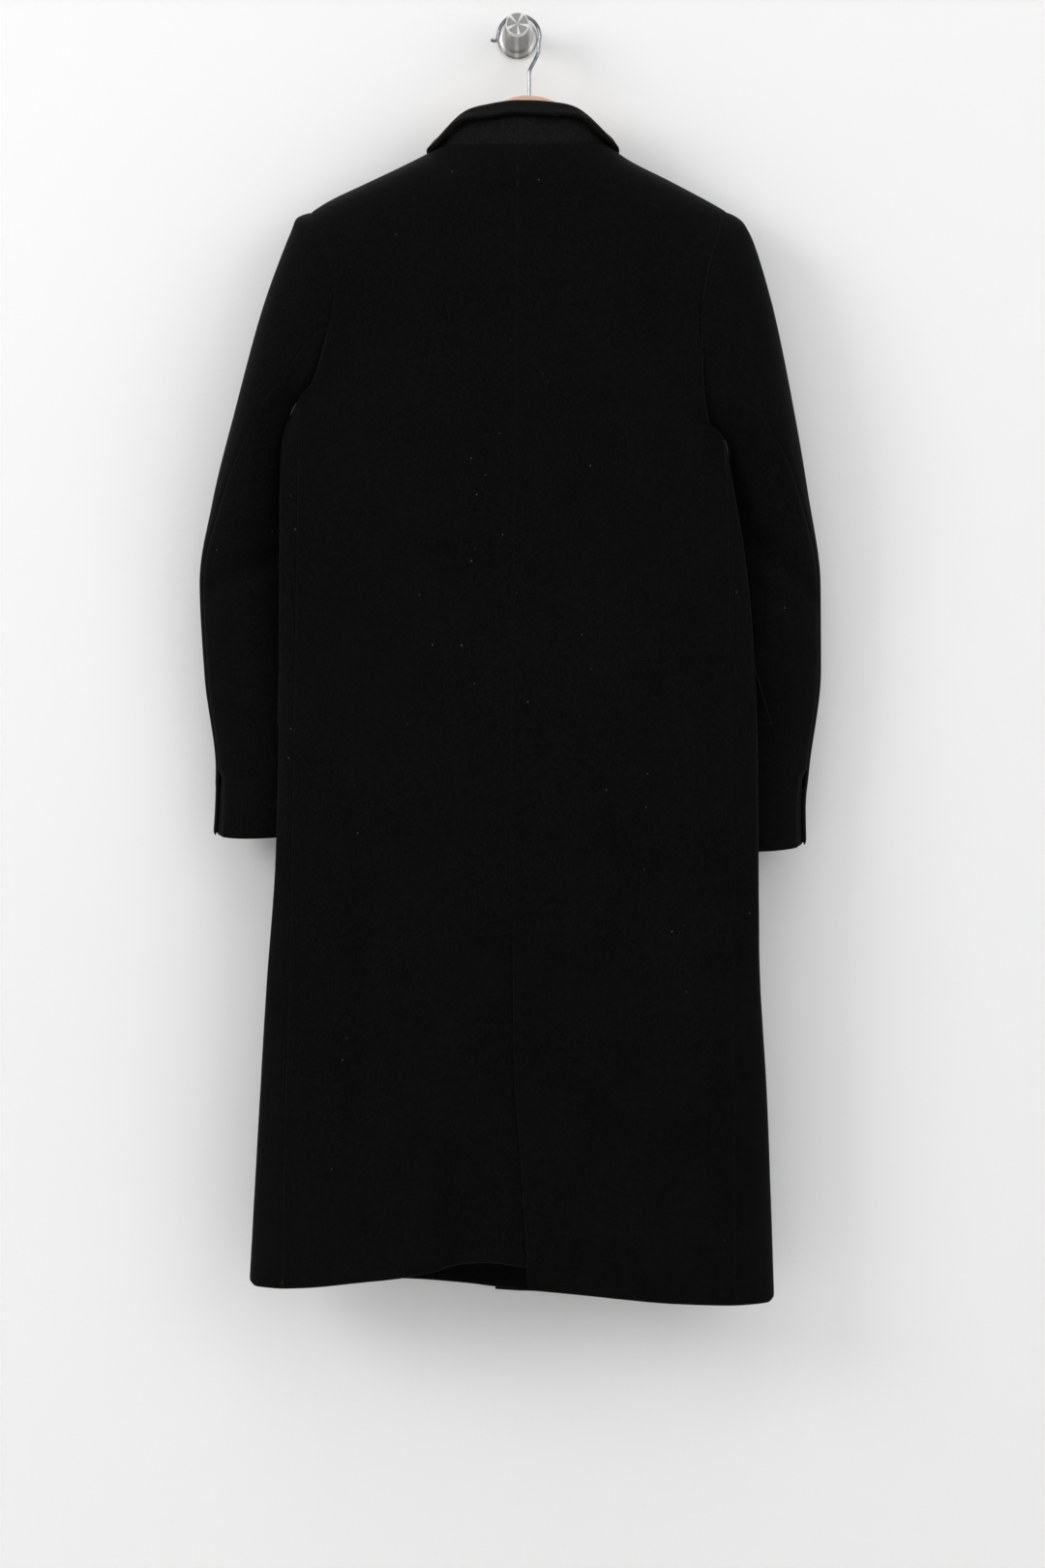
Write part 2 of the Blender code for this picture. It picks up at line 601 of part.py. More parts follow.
def sleeve_panels(side):
    """Top sleeve and under sleeve, which meet at the elbow seam and at the inner seam."""
    seams = Profile(SLEEVE_SEAMS)
    top, under = [], []
    for ring in SLEEVE_RINGS:
        elbow, inner = seams(ring)
        top_turns = [blend(elbow, inner - 360, step / TOP_SLEEVE_STEPS) for step in range(TOP_SLEEVE_STEPS + 1)]
        under_turns = [blend(elbow, inner, step / UNDER_SLEEVE_STEPS) for step in range(UNDER_SLEEVE_STEPS + 1)]
        top_row = [sleeve_point(side, ring, turn % 360) for turn in top_turns]
        under_row = [sleeve_point(side, ring, turn) for turn in under_turns]
        if ring >= CUFF_STEP_RING:
            # in the cuff's short vent the under sleeve runs on beneath the top sleeve
            lap_turn = elbow - CUFF_VENT_TURN * (ring > CUFF_VENT_RING)
            middle = sleeve_point(side, ring, 90) + sleeve_point(side, ring, 270)
            lap = sleeve_point(side, ring, lap_turn)
            under_row[0] = lap + CUFF_VENT_STEP * unit(middle / 2 - lap)
        top.append(top_row)
        under.append(under_row)
    return [
        Panel(f"sleeve_{side}_top", np.array(top), side == "right", ("bottom", "first_above_vent", "last")),
        Panel(f"sleeve_{side}_under", np.array(under), side == "left", ("bottom", "first_above_vent", "last")),
    ]


def grid_normals(panel):
    """Sum of the face normals round each point of a panel, weighted by area."""
    p = panel.points
    cross = np.cross(p[1:, 1:] - p[:-1, :-1], p[1:, :-1] - p[:-1, 1:])
    if panel.turned:
        cross = -cross
    total = np.zeros_like(p)
    for rows, columns in ((slice(0, -1), slice(0, -1)), (slice(0, -1), slice(1, None))):
        total[rows, columns] += cross
    for rows, columns in ((slice(1, None), slice(0, -1)), (slice(1, None), slice(1, None))):
        total[rows, columns] += cross
    return total


def shared_normals(panels):
    """Unit normals for each panel, made one where panels meet, so that their walls share a mitre."""
    sums = {}
    found = {}
    for panel in panels:
        found[panel.name] = unit(grid_normals(panel))
        for point, normal in zip(panel.points.reshape(-1, 3), found[panel.name].reshape(-1, 3)):
            key = tuple(np.round(point, 6))
            sums[key] = sums.get(key, 0.0) + normal
    for panel in panels:
        keys = [tuple(np.round(point, 6)) for point in panel.points.reshape(-1, 3)]
        joined = np.array([sums[key] for key in keys])
        found[panel.name] = unit(joined).reshape(panel.points.shape)
    return found


def pulled_in(points, sewn, vent_rows):
    """The grid with its sewn sides drawn in by half the gap between two pieces."""
    moved = points.copy()
    half = SEAM_GAP * 0.55
    if "bottom" in sewn:
        moved[0] += half * unit(points[1] - points[0])
    if "top" in sewn:
        moved[-1] += half * unit(points[-2] - points[-1])
    if "first" in sewn:
        moved[:, 0] += half * unit(points[:, 1] - points[:, 0])
    if "first_above_vent" in sewn:
        moved[vent_rows, 0] += half * unit(points[vent_rows, 1] - points[vent_rows, 0])
    if "last" in sewn:
        moved[:, -1] += half * unit(points[:, -2] - points[:, -1])
    return moved


def add_material(obj, material):
    obj.data.materials.append(material)


def add_object(name, mesh, material):
    obj = bpy.data.objects.new(name, mesh)
    bpy.context.scene.collection.objects.link(obj)
    add_material(obj, material)
    return obj


def wall_object(name, outer, inner, turned, material):
    """Closed wall between two grids of points, with a rim round their border.

    Every square is split along the same diagonal, and the rim by height, so that neighbours match."""
    rows, columns = outer.shape[:2]
    mesh = bmesh.new()
    layers = [[[mesh.verts.new(point) for point in row] for row in layer] for layer in (outer, inner)]
    for row in range(rows - 1):
        for column in range(columns - 1):
            for depth, layer in enumerate(layers):
                near, far = layer[row][column], layer[row + 1][column + 1]
                for corner in (layer[row][column + 1], layer[row + 1][column]):
                    flipped = (depth == 0) == turned
                    if corner is layer[row + 1][column]:
                        flipped = not flipped
                    mesh.faces.new((near, far, corner) if flipped else (near, corner, far))
    border = [(0, column) for column in range(columns)]
    border += [(row, columns - 1) for row in range(1, rows)]
    border += [(rows - 1, column) for column in range(columns - 2, -1, -1)]
    border += [(row, 0) for row in range(rows - 2, 0, -1)]
    for here, following in zip(border, border[1:] + border[:1]):
        here_out, here_in = (layer[here[0]][here[1]] for layer in layers)
        next_out, next_in = (layer[following[0]][following[1]] for layer in layers)
        if rim_order(here_out.co) > rim_order(next_out.co):
            faces = ((here_out, here_in, next_in), (here_out, next_in, next_out))
        else:
            faces = ((next_out, here_out, here_in), (next_out, here_in, next_in))
        for face in faces:
            mesh.faces.new(face[::-1] if turned else face)
    bmesh.ops.recalc_face_normals(mesh, faces=mesh.faces)
    data = bpy.data.meshes.new(name)
    mesh.to_mesh(data)
    mesh.free()
    data.shade_smooth()
    data.set_sharp_from_angle(angle=math.radians(50))
    return add_object(name, data, material)


def rim_order(point):
    """Number by which both neighbours of a seam rank its points: height first, then the side."""
    return point.z + 0.3 * point.x


def add_cloth(panel, normals, material):
    """Adds a panel as a wall of cloth behind its outer face."""
    heights = panel.points[:, 0, 2]
    if panel.name.startswith("sleeve"):
        sewn_rows = np.array(SLEEVE_RINGS) <= CUFF_VENT_RING
    else:
        sewn_rows = heights > VENT_TOP_Z
    outer = pulled_in(panel.points, panel.sewn, sewn_rows)
    inner = pulled_in(panel.points - CLOTH * normals, panel.sewn, sewn_rows)
    wall_object(panel.name, outer, inner, panel.turned, material)


def collar_section(turn):
    """The folded collar's section as (along the cloth into the neck, off the cloth), stand to fall.

    It starts where its outer layer stands just beside the edge of the cloth, level with its face."""
    lean, stand, radius, dip, fall = Profile(COLLAR_RISE)(turn)
    start, end = math.radians(lean), math.radians(180 - dip)
    layer = COLLAR_CLOTH + SEAM_GAP / 2
    foot = np.array((SEAM_GAP + layer * math.sin(start), -layer * math.cos(start)))
    points = [
        foot + np.array((math.cos(start), math.sin(start))) * stand * step / COLLAR_STAND_STEPS
        for step in range(COLLAR_STAND_STEPS + 1)
    ]
    centre = points[-1] + radius * np.array((-math.sin(start), math.cos(start)))
    for step in range(1, COLLAR_ROLL_STEPS + 1):
        angle = blend(start, end, step / COLLAR_ROLL_STEPS)
        points.append(centre + radius * np.array((math.sin(angle), -math.cos(angle))))
    turned_over = points[-1]
    for step in range(1, COLLAR_FALL_STEPS + 1):
        along_fall = fall * step / COLLAR_FALL_STEPS
        points.append(turned_over + along_fall * np.array((math.cos(end), math.sin(end))))
    return points


def neckline_stations(panels, normals):
    """Turn, point and cloth normal at each neckline column, from the left front round to the right."""
    stations = []
    for side in SIDES:
        back, front = panels[f"back_{side}"], panels[f"front_{side}"]
        last = len(front.points[0]) - 2
        first = last - len(FRONT_NECK_TURNS) + 1
        half = [
            (SIDES[side] * turn, back.points[-1, column], normals[back.name][-1, column])
            for column, turn in enumerate(BACK_NECK_TURNS)
        ]
        half += [
            (SIDES[side] * turn, front.points[-1, first + step], normals[front.name][-1, first + step])
            for step, turn in enumerate(FRONT_NECK_TURNS)
        ][1:]
        turn, point, normal = half[-1]
        half[-1] = (turn, point + COLLAR_FRONT_GAP * unit(half[-2][1] - point), normal)
        stations += half[::-1] if side == "left" else half[1:]
    return stations


def collar_sheet(stations):
    """Grid of points between the collar's two layers, one row for each station."""
    places = np.array([point for _, point, _ in stations])
    tangents = unit(np.gradient(places, axis=0))
    sheet = []
    for (turn, place, normal), tangent in zip(stations, tangents):
        facing = unit(normal - tangent * np.dot(normal, tangent))
        inward = np.cross(facing, tangent)
        sheet.append([place + p * inward + q * facing for p, q in collar_section(turn)])
    return np.array(sheet)


def add_collar(panels, normals, material):
    """Adds the under collar's two halves and the upper collar that lies over them."""
    stations = neckline_stations(panels, normals)
    sheet = collar_sheet(stations)
    whole = Panel("collar", sheet, False, ())
    across = unit(grid_normals(whole))
    centre = len(stations) // 2
    half_gap = SEAM_GAP / 2
    layers = {
        "upper_collar": (slice(0, None), half_gap, half_gap + COLLAR_CLOTH),
        "under_collar_left": (slice(0, centre + 1), -half_gap, -half_gap - COLLAR_CLOTH),
        "under_collar_right": (slice(centre, None), -half_gap, -half_gap - COLLAR_CLOTH),
    }
    for name, (rows, near, far) in layers.items():
        grid, facing = sheet[rows], across[rows]
        sewn = {"under_collar_left": ("top",), "under_collar_right": ("bottom",)}.get(name, ())
        no_rows = np.zeros(len(grid), bool)
        outer = pulled_in(grid + far * facing, sewn, no_rows)
        inner = pulled_in(grid + near * facing, sewn, no_rows)
        wall_object(name, outer, inner, far < 0, material)


def add_pocket_flap(front, normals, material):
    """Adds a flap made from the front's points, with its rear end standing out past the coat's edge."""
    side = front.name.split("_")[-1]
    outer, inner = [], []
    for row, height in enumerate(FLAP_HEIGHTS):
        below = int(np.searchsorted(front.points[:, FLAP_COLUMNS[0], 2], height)) - 1
        rear = SIDES[side] * blend(*FLAP_REAR[side], row / (len(FLAP_HEIGHTS) - 1))
        layers = ((inner, FLAP_CLEARANCE), (outer, FLAP_CLEARANCE + CLOTH))
        for layer, offset in layers:
            made = []
            for column in range(FLAP_COLUMNS[0], FLAP_COLUMNS[1] + 1):
                low, high = front.points[below, column], front.points[below + 1, column]
                share = (height - low[2]) / (high[2] - low[2])
                facing = unit(blend(normals[below, column], normals[below + 1, column], share))
                made.append(blend(low, high, share) + offset * facing)
            shift = rear - made[0][0]
            for step in range(FLAP_FLARE_COLUMNS):
                made[step][0] += shift * (1 - step / FLAP_FLARE_COLUMNS) ** 1.5
            layer.append(made)
    wall_object(f"pocket_flap_{side}", np.array(outer), np.array(inner), front.turned, material)


def turned_object(name, profile, steps, material):
    """Solid turned about the Y axis from (radius, y) points that start and end on the axis."""
    mesh = bmesh.new()
    chain = [mesh.verts.new((radius, y, 0.0)) for radius, y in profile]
    edges = [mesh.edges.new(pair) for pair in zip(chain, chain[1:])]
    bmesh.ops.spin(
        mesh,
        geom=chain + edges,
        cent=(0.0, 0.0, 0.0),
        axis=(0.0, 1.0, 0.0),
        angle=math.tau,
        steps=steps,
    )
    bmesh.ops.remove_doubles(mesh, verts=mesh.verts, dist=1e-6)
    bmesh.ops.recalc_face_normals(mesh, faces=mesh.faces)
    data = bpy.data.meshes.new(name)
    mesh.to_mesh(data)
    mesh.free()
    data.shade_smooth()
    data.set_sharp_from_angle(angle=math.radians(40))
    return add_object(name, data, material)


def add_buttons(front, material):
    """Adds the plain buttons down the centre of the right front, which laps over the left."""
    edge = BUTTON_THICKNESS / 4
    profile = (
        (0.0, 0.0),
        (BUTTON_RADIUS - edge, 0.0),
        (BUTTON_RADIUS, edge),
        (BUTTON_RADIUS, BUTTON_THICKNESS - edge),
        (BUTTON_RADIUS - edge, BUTTON_THICKNESS),
        (BUTTON_RADIUS - 3 * edge, BUTTON_THICKNESS - edge),
        (0.0, BUTTON_THICKNESS - edge),
    )
    centre_line = front.points[:, -2]
    for number, height in enumerate(BUTTON_HEIGHTS, start=1):
        heights = np.linspace(height - BUTTON_RADIUS, height + BUTTON_RADIUS, 5)
        face = max(np.interp(heights, centre_line[:, 2], centre_line[:, 1]))
        button = turned_object(f"button_{number}", profile, 20, material)
        button.location = (CENTRE_FRONT_X, face + SEAM_GAP, height)


def ridge_under_cloth(x):
    """Top of the hanger where the coat's shoulders rest on it."""
    side = "left" if x < 0 else "right"
    return SHOULDER_AT[side](abs(x)) - CLOTH - HANGER_SEAT


def hanger_top(x):
    distance = abs(x - HANGER_CENTRE_X)
    last, low = HANGER_HUMP[-1]
    if distance <= last:
        return Profile(HANGER_HUMP)(distance)
    neck = (SIDE_NECK["left" if x < 0 else "right"][0] - HANGER_NECK_MARGIN) * (1 if x > 0 else -1)
    if abs(x) >= abs(neck):
        return ridge_under_cloth(x)
    neck_distance = abs(neck - HANGER_CENTRE_X)
    return blend(low, ridge_under_cloth(neck), ((distance - last) / (neck_distance - last)) ** 0.8)


def hanger_stations():
    """Places of the hanger's sections along X, close together over its hump."""
    left_end, right_end = HANGER_ENDS
    left_foot, right_foot = HANGER_CENTRE_X - HANGER_HUMP_REACH, HANGER_CENTRE_X + HANGER_HUMP_REACH
    left_arm = np.linspace(left_end, left_foot, HANGER_ARM_STATIONS, endpoint=False)
    hump = np.linspace(left_foot, right_foot, HANGER_HUMP_STATIONS)
    right_arm = np.linspace(right_end, right_foot, HANGER_ARM_STATIONS, endpoint=False)[::-1]
    return np.concatenate([left_arm, hump, right_arm])


def add_hanger(material):
    """Adds the wooden hanger, bridged from rounded sections from one end to the other."""
    mesh = bmesh.new()
    rings = []
    for x in hanger_stations():
        depth = Profile(HANGER_DEPTH)(abs(x - HANGER_CENTRE_X))
        top = hanger_top(x)
        ring = []
        radius = HANGER_THICKNESS / 2
        for start, centre_z in ((0, top - radius), (180, top - depth + radius)):
            for step in range(HANGER_ROUND_STEPS + 1):
                angle = math.radians(start + 180 * step / HANGER_ROUND_STEPS)
                place = (x, HANGER_Y + radius * math.cos(angle), centre_z + radius * math.sin(angle))
                ring.append(mesh.verts.new(place))
        rings.append(ring)
    for first, second in zip(rings, rings[1:]):
        for corner in range(len(first)):
            following = (corner + 1) % len(first)
            mesh.faces.new((first[corner], first[following], second[following], second[corner]))
    mesh.faces.new(rings[0][::-1])
    mesh.faces.new(rings[-1])
    bmesh.ops.recalc_face_normals(mesh, faces=mesh.faces)
    data = bpy.data.meshes.new("hanger")
    mesh.to_mesh(data)
    mesh.free()
    data.shade_smooth()
    data.set_sharp_from_angle(angle=math.radians(50))
    hanger = add_object("hanger", data, material)
    drill = bpy.data.meshes.new("hook_drill")
    cutter = bmesh.new()
    top = HANGER_HUMP[0][1]
    bmesh.ops.create_cone(
        cutter,
        cap_ends=True,
        segments=16,
        radius1=HOOK_HOLE_RADIUS,
        radius2=HOOK_HOLE_RADIUS,
        depth=2 * HOOK_HOLE_DEPTH,
        matrix=Matrix.Translation((HOOK_X, HANGER_Y, top)),
    )
    cutter.to_mesh(drill)
    cutter.free()
    drill_object = bpy.data.objects.new("hook_drill", drill)
    bpy.context.scene.collection.objects.link(drill_object)
    drill_object.hide_render = True
    drill_object.display_type = "WIRE"
    cut = hanger.modifiers.new("hook hole", "BOOLEAN")
    cut.operation = "DIFFERENCE"
    cut.object = drill_object
    cut.solver = "EXACT"


def hook_path():
    """Middle line of the hook: shaft, swan bend, loop over the knob's stem and the small turned-out tip."""
    loop_z = STEM_RADIUS + SEAM_GAP + WIRE_RADIUS - HOOK_LOOP_RADIUS
    bottom = HANGER_HUMP[0][1] - HOOK_HOLE_DEPTH + SEAM_GAP
    path = [(HOOK_X, bottom), *HOOK_SWAN_BEND]
    for angle in np.linspace(*HOOK_LOOP_TURNS, 17):
        turn = math.radians(angle)
        path.append((HOOK_LOOP_X + HOOK_LOOP_RADIUS * math.cos(turn), loop_z + HOOK_LOOP_RADIUS * math.sin(turn)))
    return path + list(HOOK_TIP)


def smooth_path(points, steps):
    """Catmull-Rom curve through points, with the given steps between each pair."""
    points = [Vector((x, HANGER_Y, z)) for x, z in points]
    padded = [2 * points[0] - points[1], *points, 2 * points[-1] - points[-2]]
    found = []
    for a, b, c, d in zip(padded, padded[1:], padded[2:], padded[3:]):
        for step in range(steps):
            t = step / steps
            found.append(
                0.5 * (2 * b + (c - a) * t + (2 * a - 5 * b + 4 * c - d) * t * t + (3 * b - a - 3 * c + d) * t**3)
            )
    return found + [points[-1]]


def add_hook(material):
    curve = bpy.data.curves.new("hanger_hook", "CURVE")
    curve.dimensions = "3D"
    curve.bevel_depth = WIRE_RADIUS
    curve.bevel_resolution = 2
    curve.use_fill_caps = True
    places = smooth_path(hook_path(), 2)
    spline = curve.splines.new("POLY")
    spline.points.add(len(places) - 1)
    for point, place in zip(spline.points, places):
        point.co = (*place, 1.0)
    hook = bpy.data.objects.new("hanger_hook", curve)
    bpy.context.scene.collection.objects.link(hook)
    add_material(hook, material)


def add_knob(material):
    """Adds the turned wall knob: flat rose, trumpet stem and round head."""
    profile = [(0.0, 0.0), (ROSE_RADIUS - KNOB_EDGE, 0.0), (ROSE_RADIUS, -KNOB_EDGE)]
    profile += [(ROSE_RADIUS, KNOB_EDGE - ROSE_THICKNESS), (ROSE_RADIUS - KNOB_EDGE, -ROSE_THICKNESS)]
    flare_radius = ROSE_RADIUS - 2 * KNOB_EDGE
    for step in range(7):
        angle = math.radians(90 * step / 6)
        radius = blend(flare_radius, STEM_RADIUS, math.sin(angle) ** 0.9)
        profile.append((radius, blend(-ROSE_THICKNESS, STEM_START_Y, 1 - math.cos(angle))))
    profile += [(STEM_RADIUS, HEAD_BACK_Y), (HEAD_RADIUS - KNOB_EDGE, HEAD_BACK_Y)]
    profile += [(HEAD_RADIUS, HEAD_BACK_Y - KNOB_EDGE), (HEAD_RADIUS, HEAD_FRONT_Y + KNOB_EDGE)]
    profile += [(HEAD_RADIUS - KNOB_EDGE, HEAD_FRONT_Y), (0.0, HEAD_FRONT_Y)]
    turned_object("wall_knob", profile, KNOB_STEPS, material)


def make_material(name, colour, roughness, metallic=0.0):
    material = bpy.data.materials.new(name)
    material.use_nodes = True
    shader = material.node_tree.nodes["Principled BSDF"]
    shader.inputs["Base Color"].default_value = (*colour, 1.0)
    shader.inputs["Roughness"].default_value = roughness
    shader.inputs["Metallic"].default_value = metallic
    return material


def clear_scene():
    for obj in list(bpy.data.objects):
        bpy.data.objects.remove(obj, do_unlink=True)


def main():
    clear_scene()
    wool = make_material("black wool", (0.012, 0.012, 0.013), 0.95)
    horn = make_material("black button", (0.015, 0.014, 0.014), 0.35)
    beech = make_material("beech", (0.58, 0.40, 0.29), 0.5)
    steel = make_material("brushed steel", (0.55, 0.55, 0.54), 0.35, 1.0)
    panels = {}
    for side in SIDES:
        for panel in (back_panel(side), front_panel(side), *sleeve_panels(side)):
            panels[panel.name] = panel
    normals = shared_normals(panels.values())
    for panel in panels.values():
        add_cloth(panel, normals[panel.name], wool)
    add_collar(panels, normals, wool)
    for side in SIDES:
        front = panels[f"front_{side}"]
        add_pocket_flap(front, normals[front.name], wool)
    add_buttons(panels["front_right"], horn)
    add_hanger(beech)
    add_hook(steel)
    add_knob(steel)


main()
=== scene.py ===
"""Long black wool overcoat on a wooden hanger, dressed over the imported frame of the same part.

The wall is the plane y = 0 and the coat's back faces -Y, so everything lies at negative y. Left and
right are the wearer's, which are also the left (-X) and right (+X) of the back view.
"""

import logging
import math
from collections.abc import Callable
from dataclasses import dataclass, field
from enum import Enum

import bmesh
import bpy
import numpy as np
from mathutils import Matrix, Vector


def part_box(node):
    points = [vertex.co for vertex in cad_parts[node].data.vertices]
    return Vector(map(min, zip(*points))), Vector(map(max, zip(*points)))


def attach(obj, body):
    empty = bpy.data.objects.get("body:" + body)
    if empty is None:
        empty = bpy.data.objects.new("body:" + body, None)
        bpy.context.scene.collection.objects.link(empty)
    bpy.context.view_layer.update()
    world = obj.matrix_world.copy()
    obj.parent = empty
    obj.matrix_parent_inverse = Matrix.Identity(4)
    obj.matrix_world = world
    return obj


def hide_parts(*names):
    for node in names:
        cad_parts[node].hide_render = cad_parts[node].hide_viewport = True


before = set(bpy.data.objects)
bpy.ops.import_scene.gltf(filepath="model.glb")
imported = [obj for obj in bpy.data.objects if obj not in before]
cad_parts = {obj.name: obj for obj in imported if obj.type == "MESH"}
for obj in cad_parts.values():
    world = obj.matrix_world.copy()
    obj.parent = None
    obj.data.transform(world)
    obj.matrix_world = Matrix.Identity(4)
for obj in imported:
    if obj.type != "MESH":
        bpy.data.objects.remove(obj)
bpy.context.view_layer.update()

LOG = logging.getLogger("coat")

# How many steps of the fine cloth go to one step of the frame's cloth
FINER = 6
COLLAR_FINER = 4

# Cloth, in metres: walls, the gaps between pieces in the frame and in the scene, how near two
# borders meet as a seam, and the step of a lap
CLOTH = 0.0022
COLLAR_CLOTH = 0.0017
SEAM_GAP = 0.0003
SHOWN_GAP = 0.00002
SEAM_REACH = 0.0007
LAP_STEP = 0.0031

# Rims: how far a sewn side and an edge turn inwards, at most how much of the grid's step, and how
# much of the turn goes down
SEAM_ROUND = 0.0004
EDGE_ROUND = 0.0009
LONGEST_TURN = 0.45
TURNED_DOWN = 0.55

# The ridge beside a seam
SEAM_RIDGE = 0.00035
SEAM_RIDGE_PLACE = 0.0055
SEAM_RIDGE_WIDTH = 0.004

# Shoulders and armholes
RIDGE_Y = -0.047
ARMPIT_Y = -0.072
ARMHOLE_HALF_DEPTH = 0.045
ARMHOLE_STEPS = 10
CENTRE_ARM_Z = -0.383
SHOULDER_TIP = {"left": (0.2016, -0.182), "right": (0.2045, -0.1815)}
ARMPIT = {"left": (0.2125, -0.3655), "right": (0.2005, -0.4034)}
SIDE_NECK = {"left": (0.078, -0.12), "right": (0.089, -0.1175)}
ARMHOLE_X = {
    # height from armpit to tip, distance from x = 0
    "left": ((0.0, 0.2125), (0.06, 0.1985), (0.3, 0.1838), (0.52, 0.1757), (0.7, 0.181), (1.0, 0.2016)),
    "right": ((0.0, 0.2005), (0.05, 0.1855), (0.24, 0.179), (0.5, 0.1782), (0.7, 0.1845), (1.0, 0.2045)),
}
SHOULDER_LINE = {
    # distance from x = 0, height of the ridge
    "left": ((0.078, -0.12), (0.1087, -0.1355), (0.1466, -0.1535), (0.1845, -0.1715), (0.2016, -0.182)),
    "right": ((0.089, -0.1175), (0.1092, -0.1315), (0.1471, -0.1507), (0.185, -0.1706), (0.2045, -0.1815)),
}

# Neckline: turn 0 at the centre back, 90 at the side of the neck, 180 at the centre front
NECK_BACK_Y = -0.088
NECK_FRONT_Y = -0.022
NECK_FRONT_Z = -0.205
BACK_NECK_TURNS = (0.0, 3.0, 24.0, 46.0, 68.0, 90.0)
FRONT_NECK_TURNS = (90.0, 104.0, 118.0, 132.0, 146.0, 160.0, 180.0)

NECK_FRONT_POWERS = {"x": 1.25, "y": 0.3, "z": 1.3}

# Body
CENTRE_FRONT_X = 0.003
CENTRE_BACK = (
    # height, x, y
    (-0.1234, 0.0004, -0.088),
    (-0.2, 0.0, -0.103),
    (-0.3, -0.0008, -0.11),
    (-0.436, -0.0024, -0.113),
    (-0.732, -0.0061, -0.114),
    (-0.903, -0.0046, -0.117),
    (-1.01, -0.0033, -0.119),
    (-1.1, 0.0032, -0.121),
    (-1.2238, 0.0105, -0.123),
)
CENTRE_FRONT = ((-0.205, -0.022), (-0.3, -0.018), (-0.5, -0.015), (-1.0, -0.015), (-1.243, -0.019))
BODY_EDGE = {
    # height, outer edge, side seam as distances from x = 0
    "left": (
        (-0.3655, 0.2125, 0.2125),
        (-0.41, 0.2275, 0.2115),
        (-0.47, 0.2295, 0.212),
        (-0.675, 0.23, 0.2155),
        (-0.806, 0.233, 0.2175),
        (-0.937, 0.2426, 0.22),
        (-1.086, 0.2515, 0.225),
        (-1.225, 0.2594, 0.2266),
    ),
    "right": (
        (-0.4034, 0.2005, 0.2005),
        (-0.4515, 0.2085, 0.203),
        (-0.5075, 0.2178, 0.2043),
        (-0.582, 0.2262, 0.2052),
        (-0.694, 0.2317, 0.206),
        (-0.9, 0.2337, 0.2075),
        (-1.05, 0.2418, 0.209),
        (-1.2405, 0.2488, 0.2106),
    ),
}
SIDE_DEPTH = (
    # drop below the armpit, y of the edge, depth of the fold there, where the front steps out: from, to
    (0.0, -0.072, 0.006, 0.19, 0.12),
    (0.05, -0.087, 0.008, 0.19, 0.125),
    (0.12, -0.09, 0.009, 0.19, 0.13),
    (0.42, -0.091, 0.009, 0.188, 0.13),
    (0.55, -0.084, 0.014, 0.215, 0.12),
    (0.86, -0.078, 0.02, 0.23, 0.1),
)
HEM_BACK = {
    # x, height
    "left": (
        (-0.2266, -1.225),
        (-0.19, -1.2225),
        (-0.145, -1.2165),
        (-0.081, -1.2072),
        (-0.055, -1.1995),
        (-0.028, -1.1976),
        (0.01, -1.2025),
        (0.05, -1.205),
    ),
    "right": ((-0.01, -1.2225), (0.0105, -1.2238), (0.0975, -1.2325), (0.1974, -1.24), (0.2106, -1.2405)),
}
HEM_FRONT = {
    "left": ((-0.2266, -1.225), (-0.1, -1.23), (0.03, -1.2425)),
    "right": ((-0.03, -1.2395), (0.0098, -1.2418), (0.12, -1.243), (0.2106, -1.2405)),
}
LOWER_SHARES = (
    *(0.0, 0.018, 0.042, 0.075, 0.12, 0.17, 0.23, 0.3, 0.37, 0.44, 0.51, 0.57, 0.6, 0.6214),
    *(0.657, 0.71, 0.78, 0.85, 0.92, 0.97, 1.0),
)
BACK_COLUMNS = (0.0, 0.02, 0.1, 0.19, 0.29, 0.39, 0.49, 0.58, 0.67, 0.76, 0.85, 0.93, 1.0)
FRONT_COLUMNS = (0.0, 0.024, 0.045, 0.066, 0.1, 0.16, 0.23, 0.31, 0.4, 0.51, 0.65, 0.82, 1.0)
# How square the back's and the front's rows are towards the side, and how finely a front's row is
# measured
BACK_SQUARENESS = 4
FRONT_SQUARENESS = 10
ROW_SAMPLES = 400
DRAPES = (
    # soft upright folds of the back: x at the hem, half width, depth, height where it starts
    (-0.178, 0.026, 0.0045, -0.95),
    (-0.118, 0.024, -0.004, -1.02),
    (-0.07, 0.024, 0.0035, -0.98),
    (0.07, 0.03, 0.0025, -0.9),
    (0.14, 0.03, -0.003, -0.98),
)

# Chest: depth at the centre and at the side, and how far up the armhole it is reached
CHEST_BACK_Y = (-0.1125, -0.1045)
CHEST_FRONT_Y = -0.016
CHEST_REACHED = 0.55
ARMHOLE_PULL = 6

# Smoothing over the armpit row: rows, columns, rounds and the share of each round
JOIN_ROWS = 12
JOIN_COLUMNS = 12
JOIN_ROUNDS = 120
JOIN_SHARE = 0.8

# Rounding of the front's corner at the hem
HEM_CORNER_RISE = 0.003
HEM_CORNER_REACH = 0.0035

# Centre-back vent and centre-front lap
VENT_TOP_Z = -0.905
VENT_STEP_START_Z = -0.887
VENT_SLANT = 0.0295
VENT_UNDERLAP = 0.04
FRONT_LAP = 0.025
LAP_REACH = 0.027
LAP_BLEND = 0.02

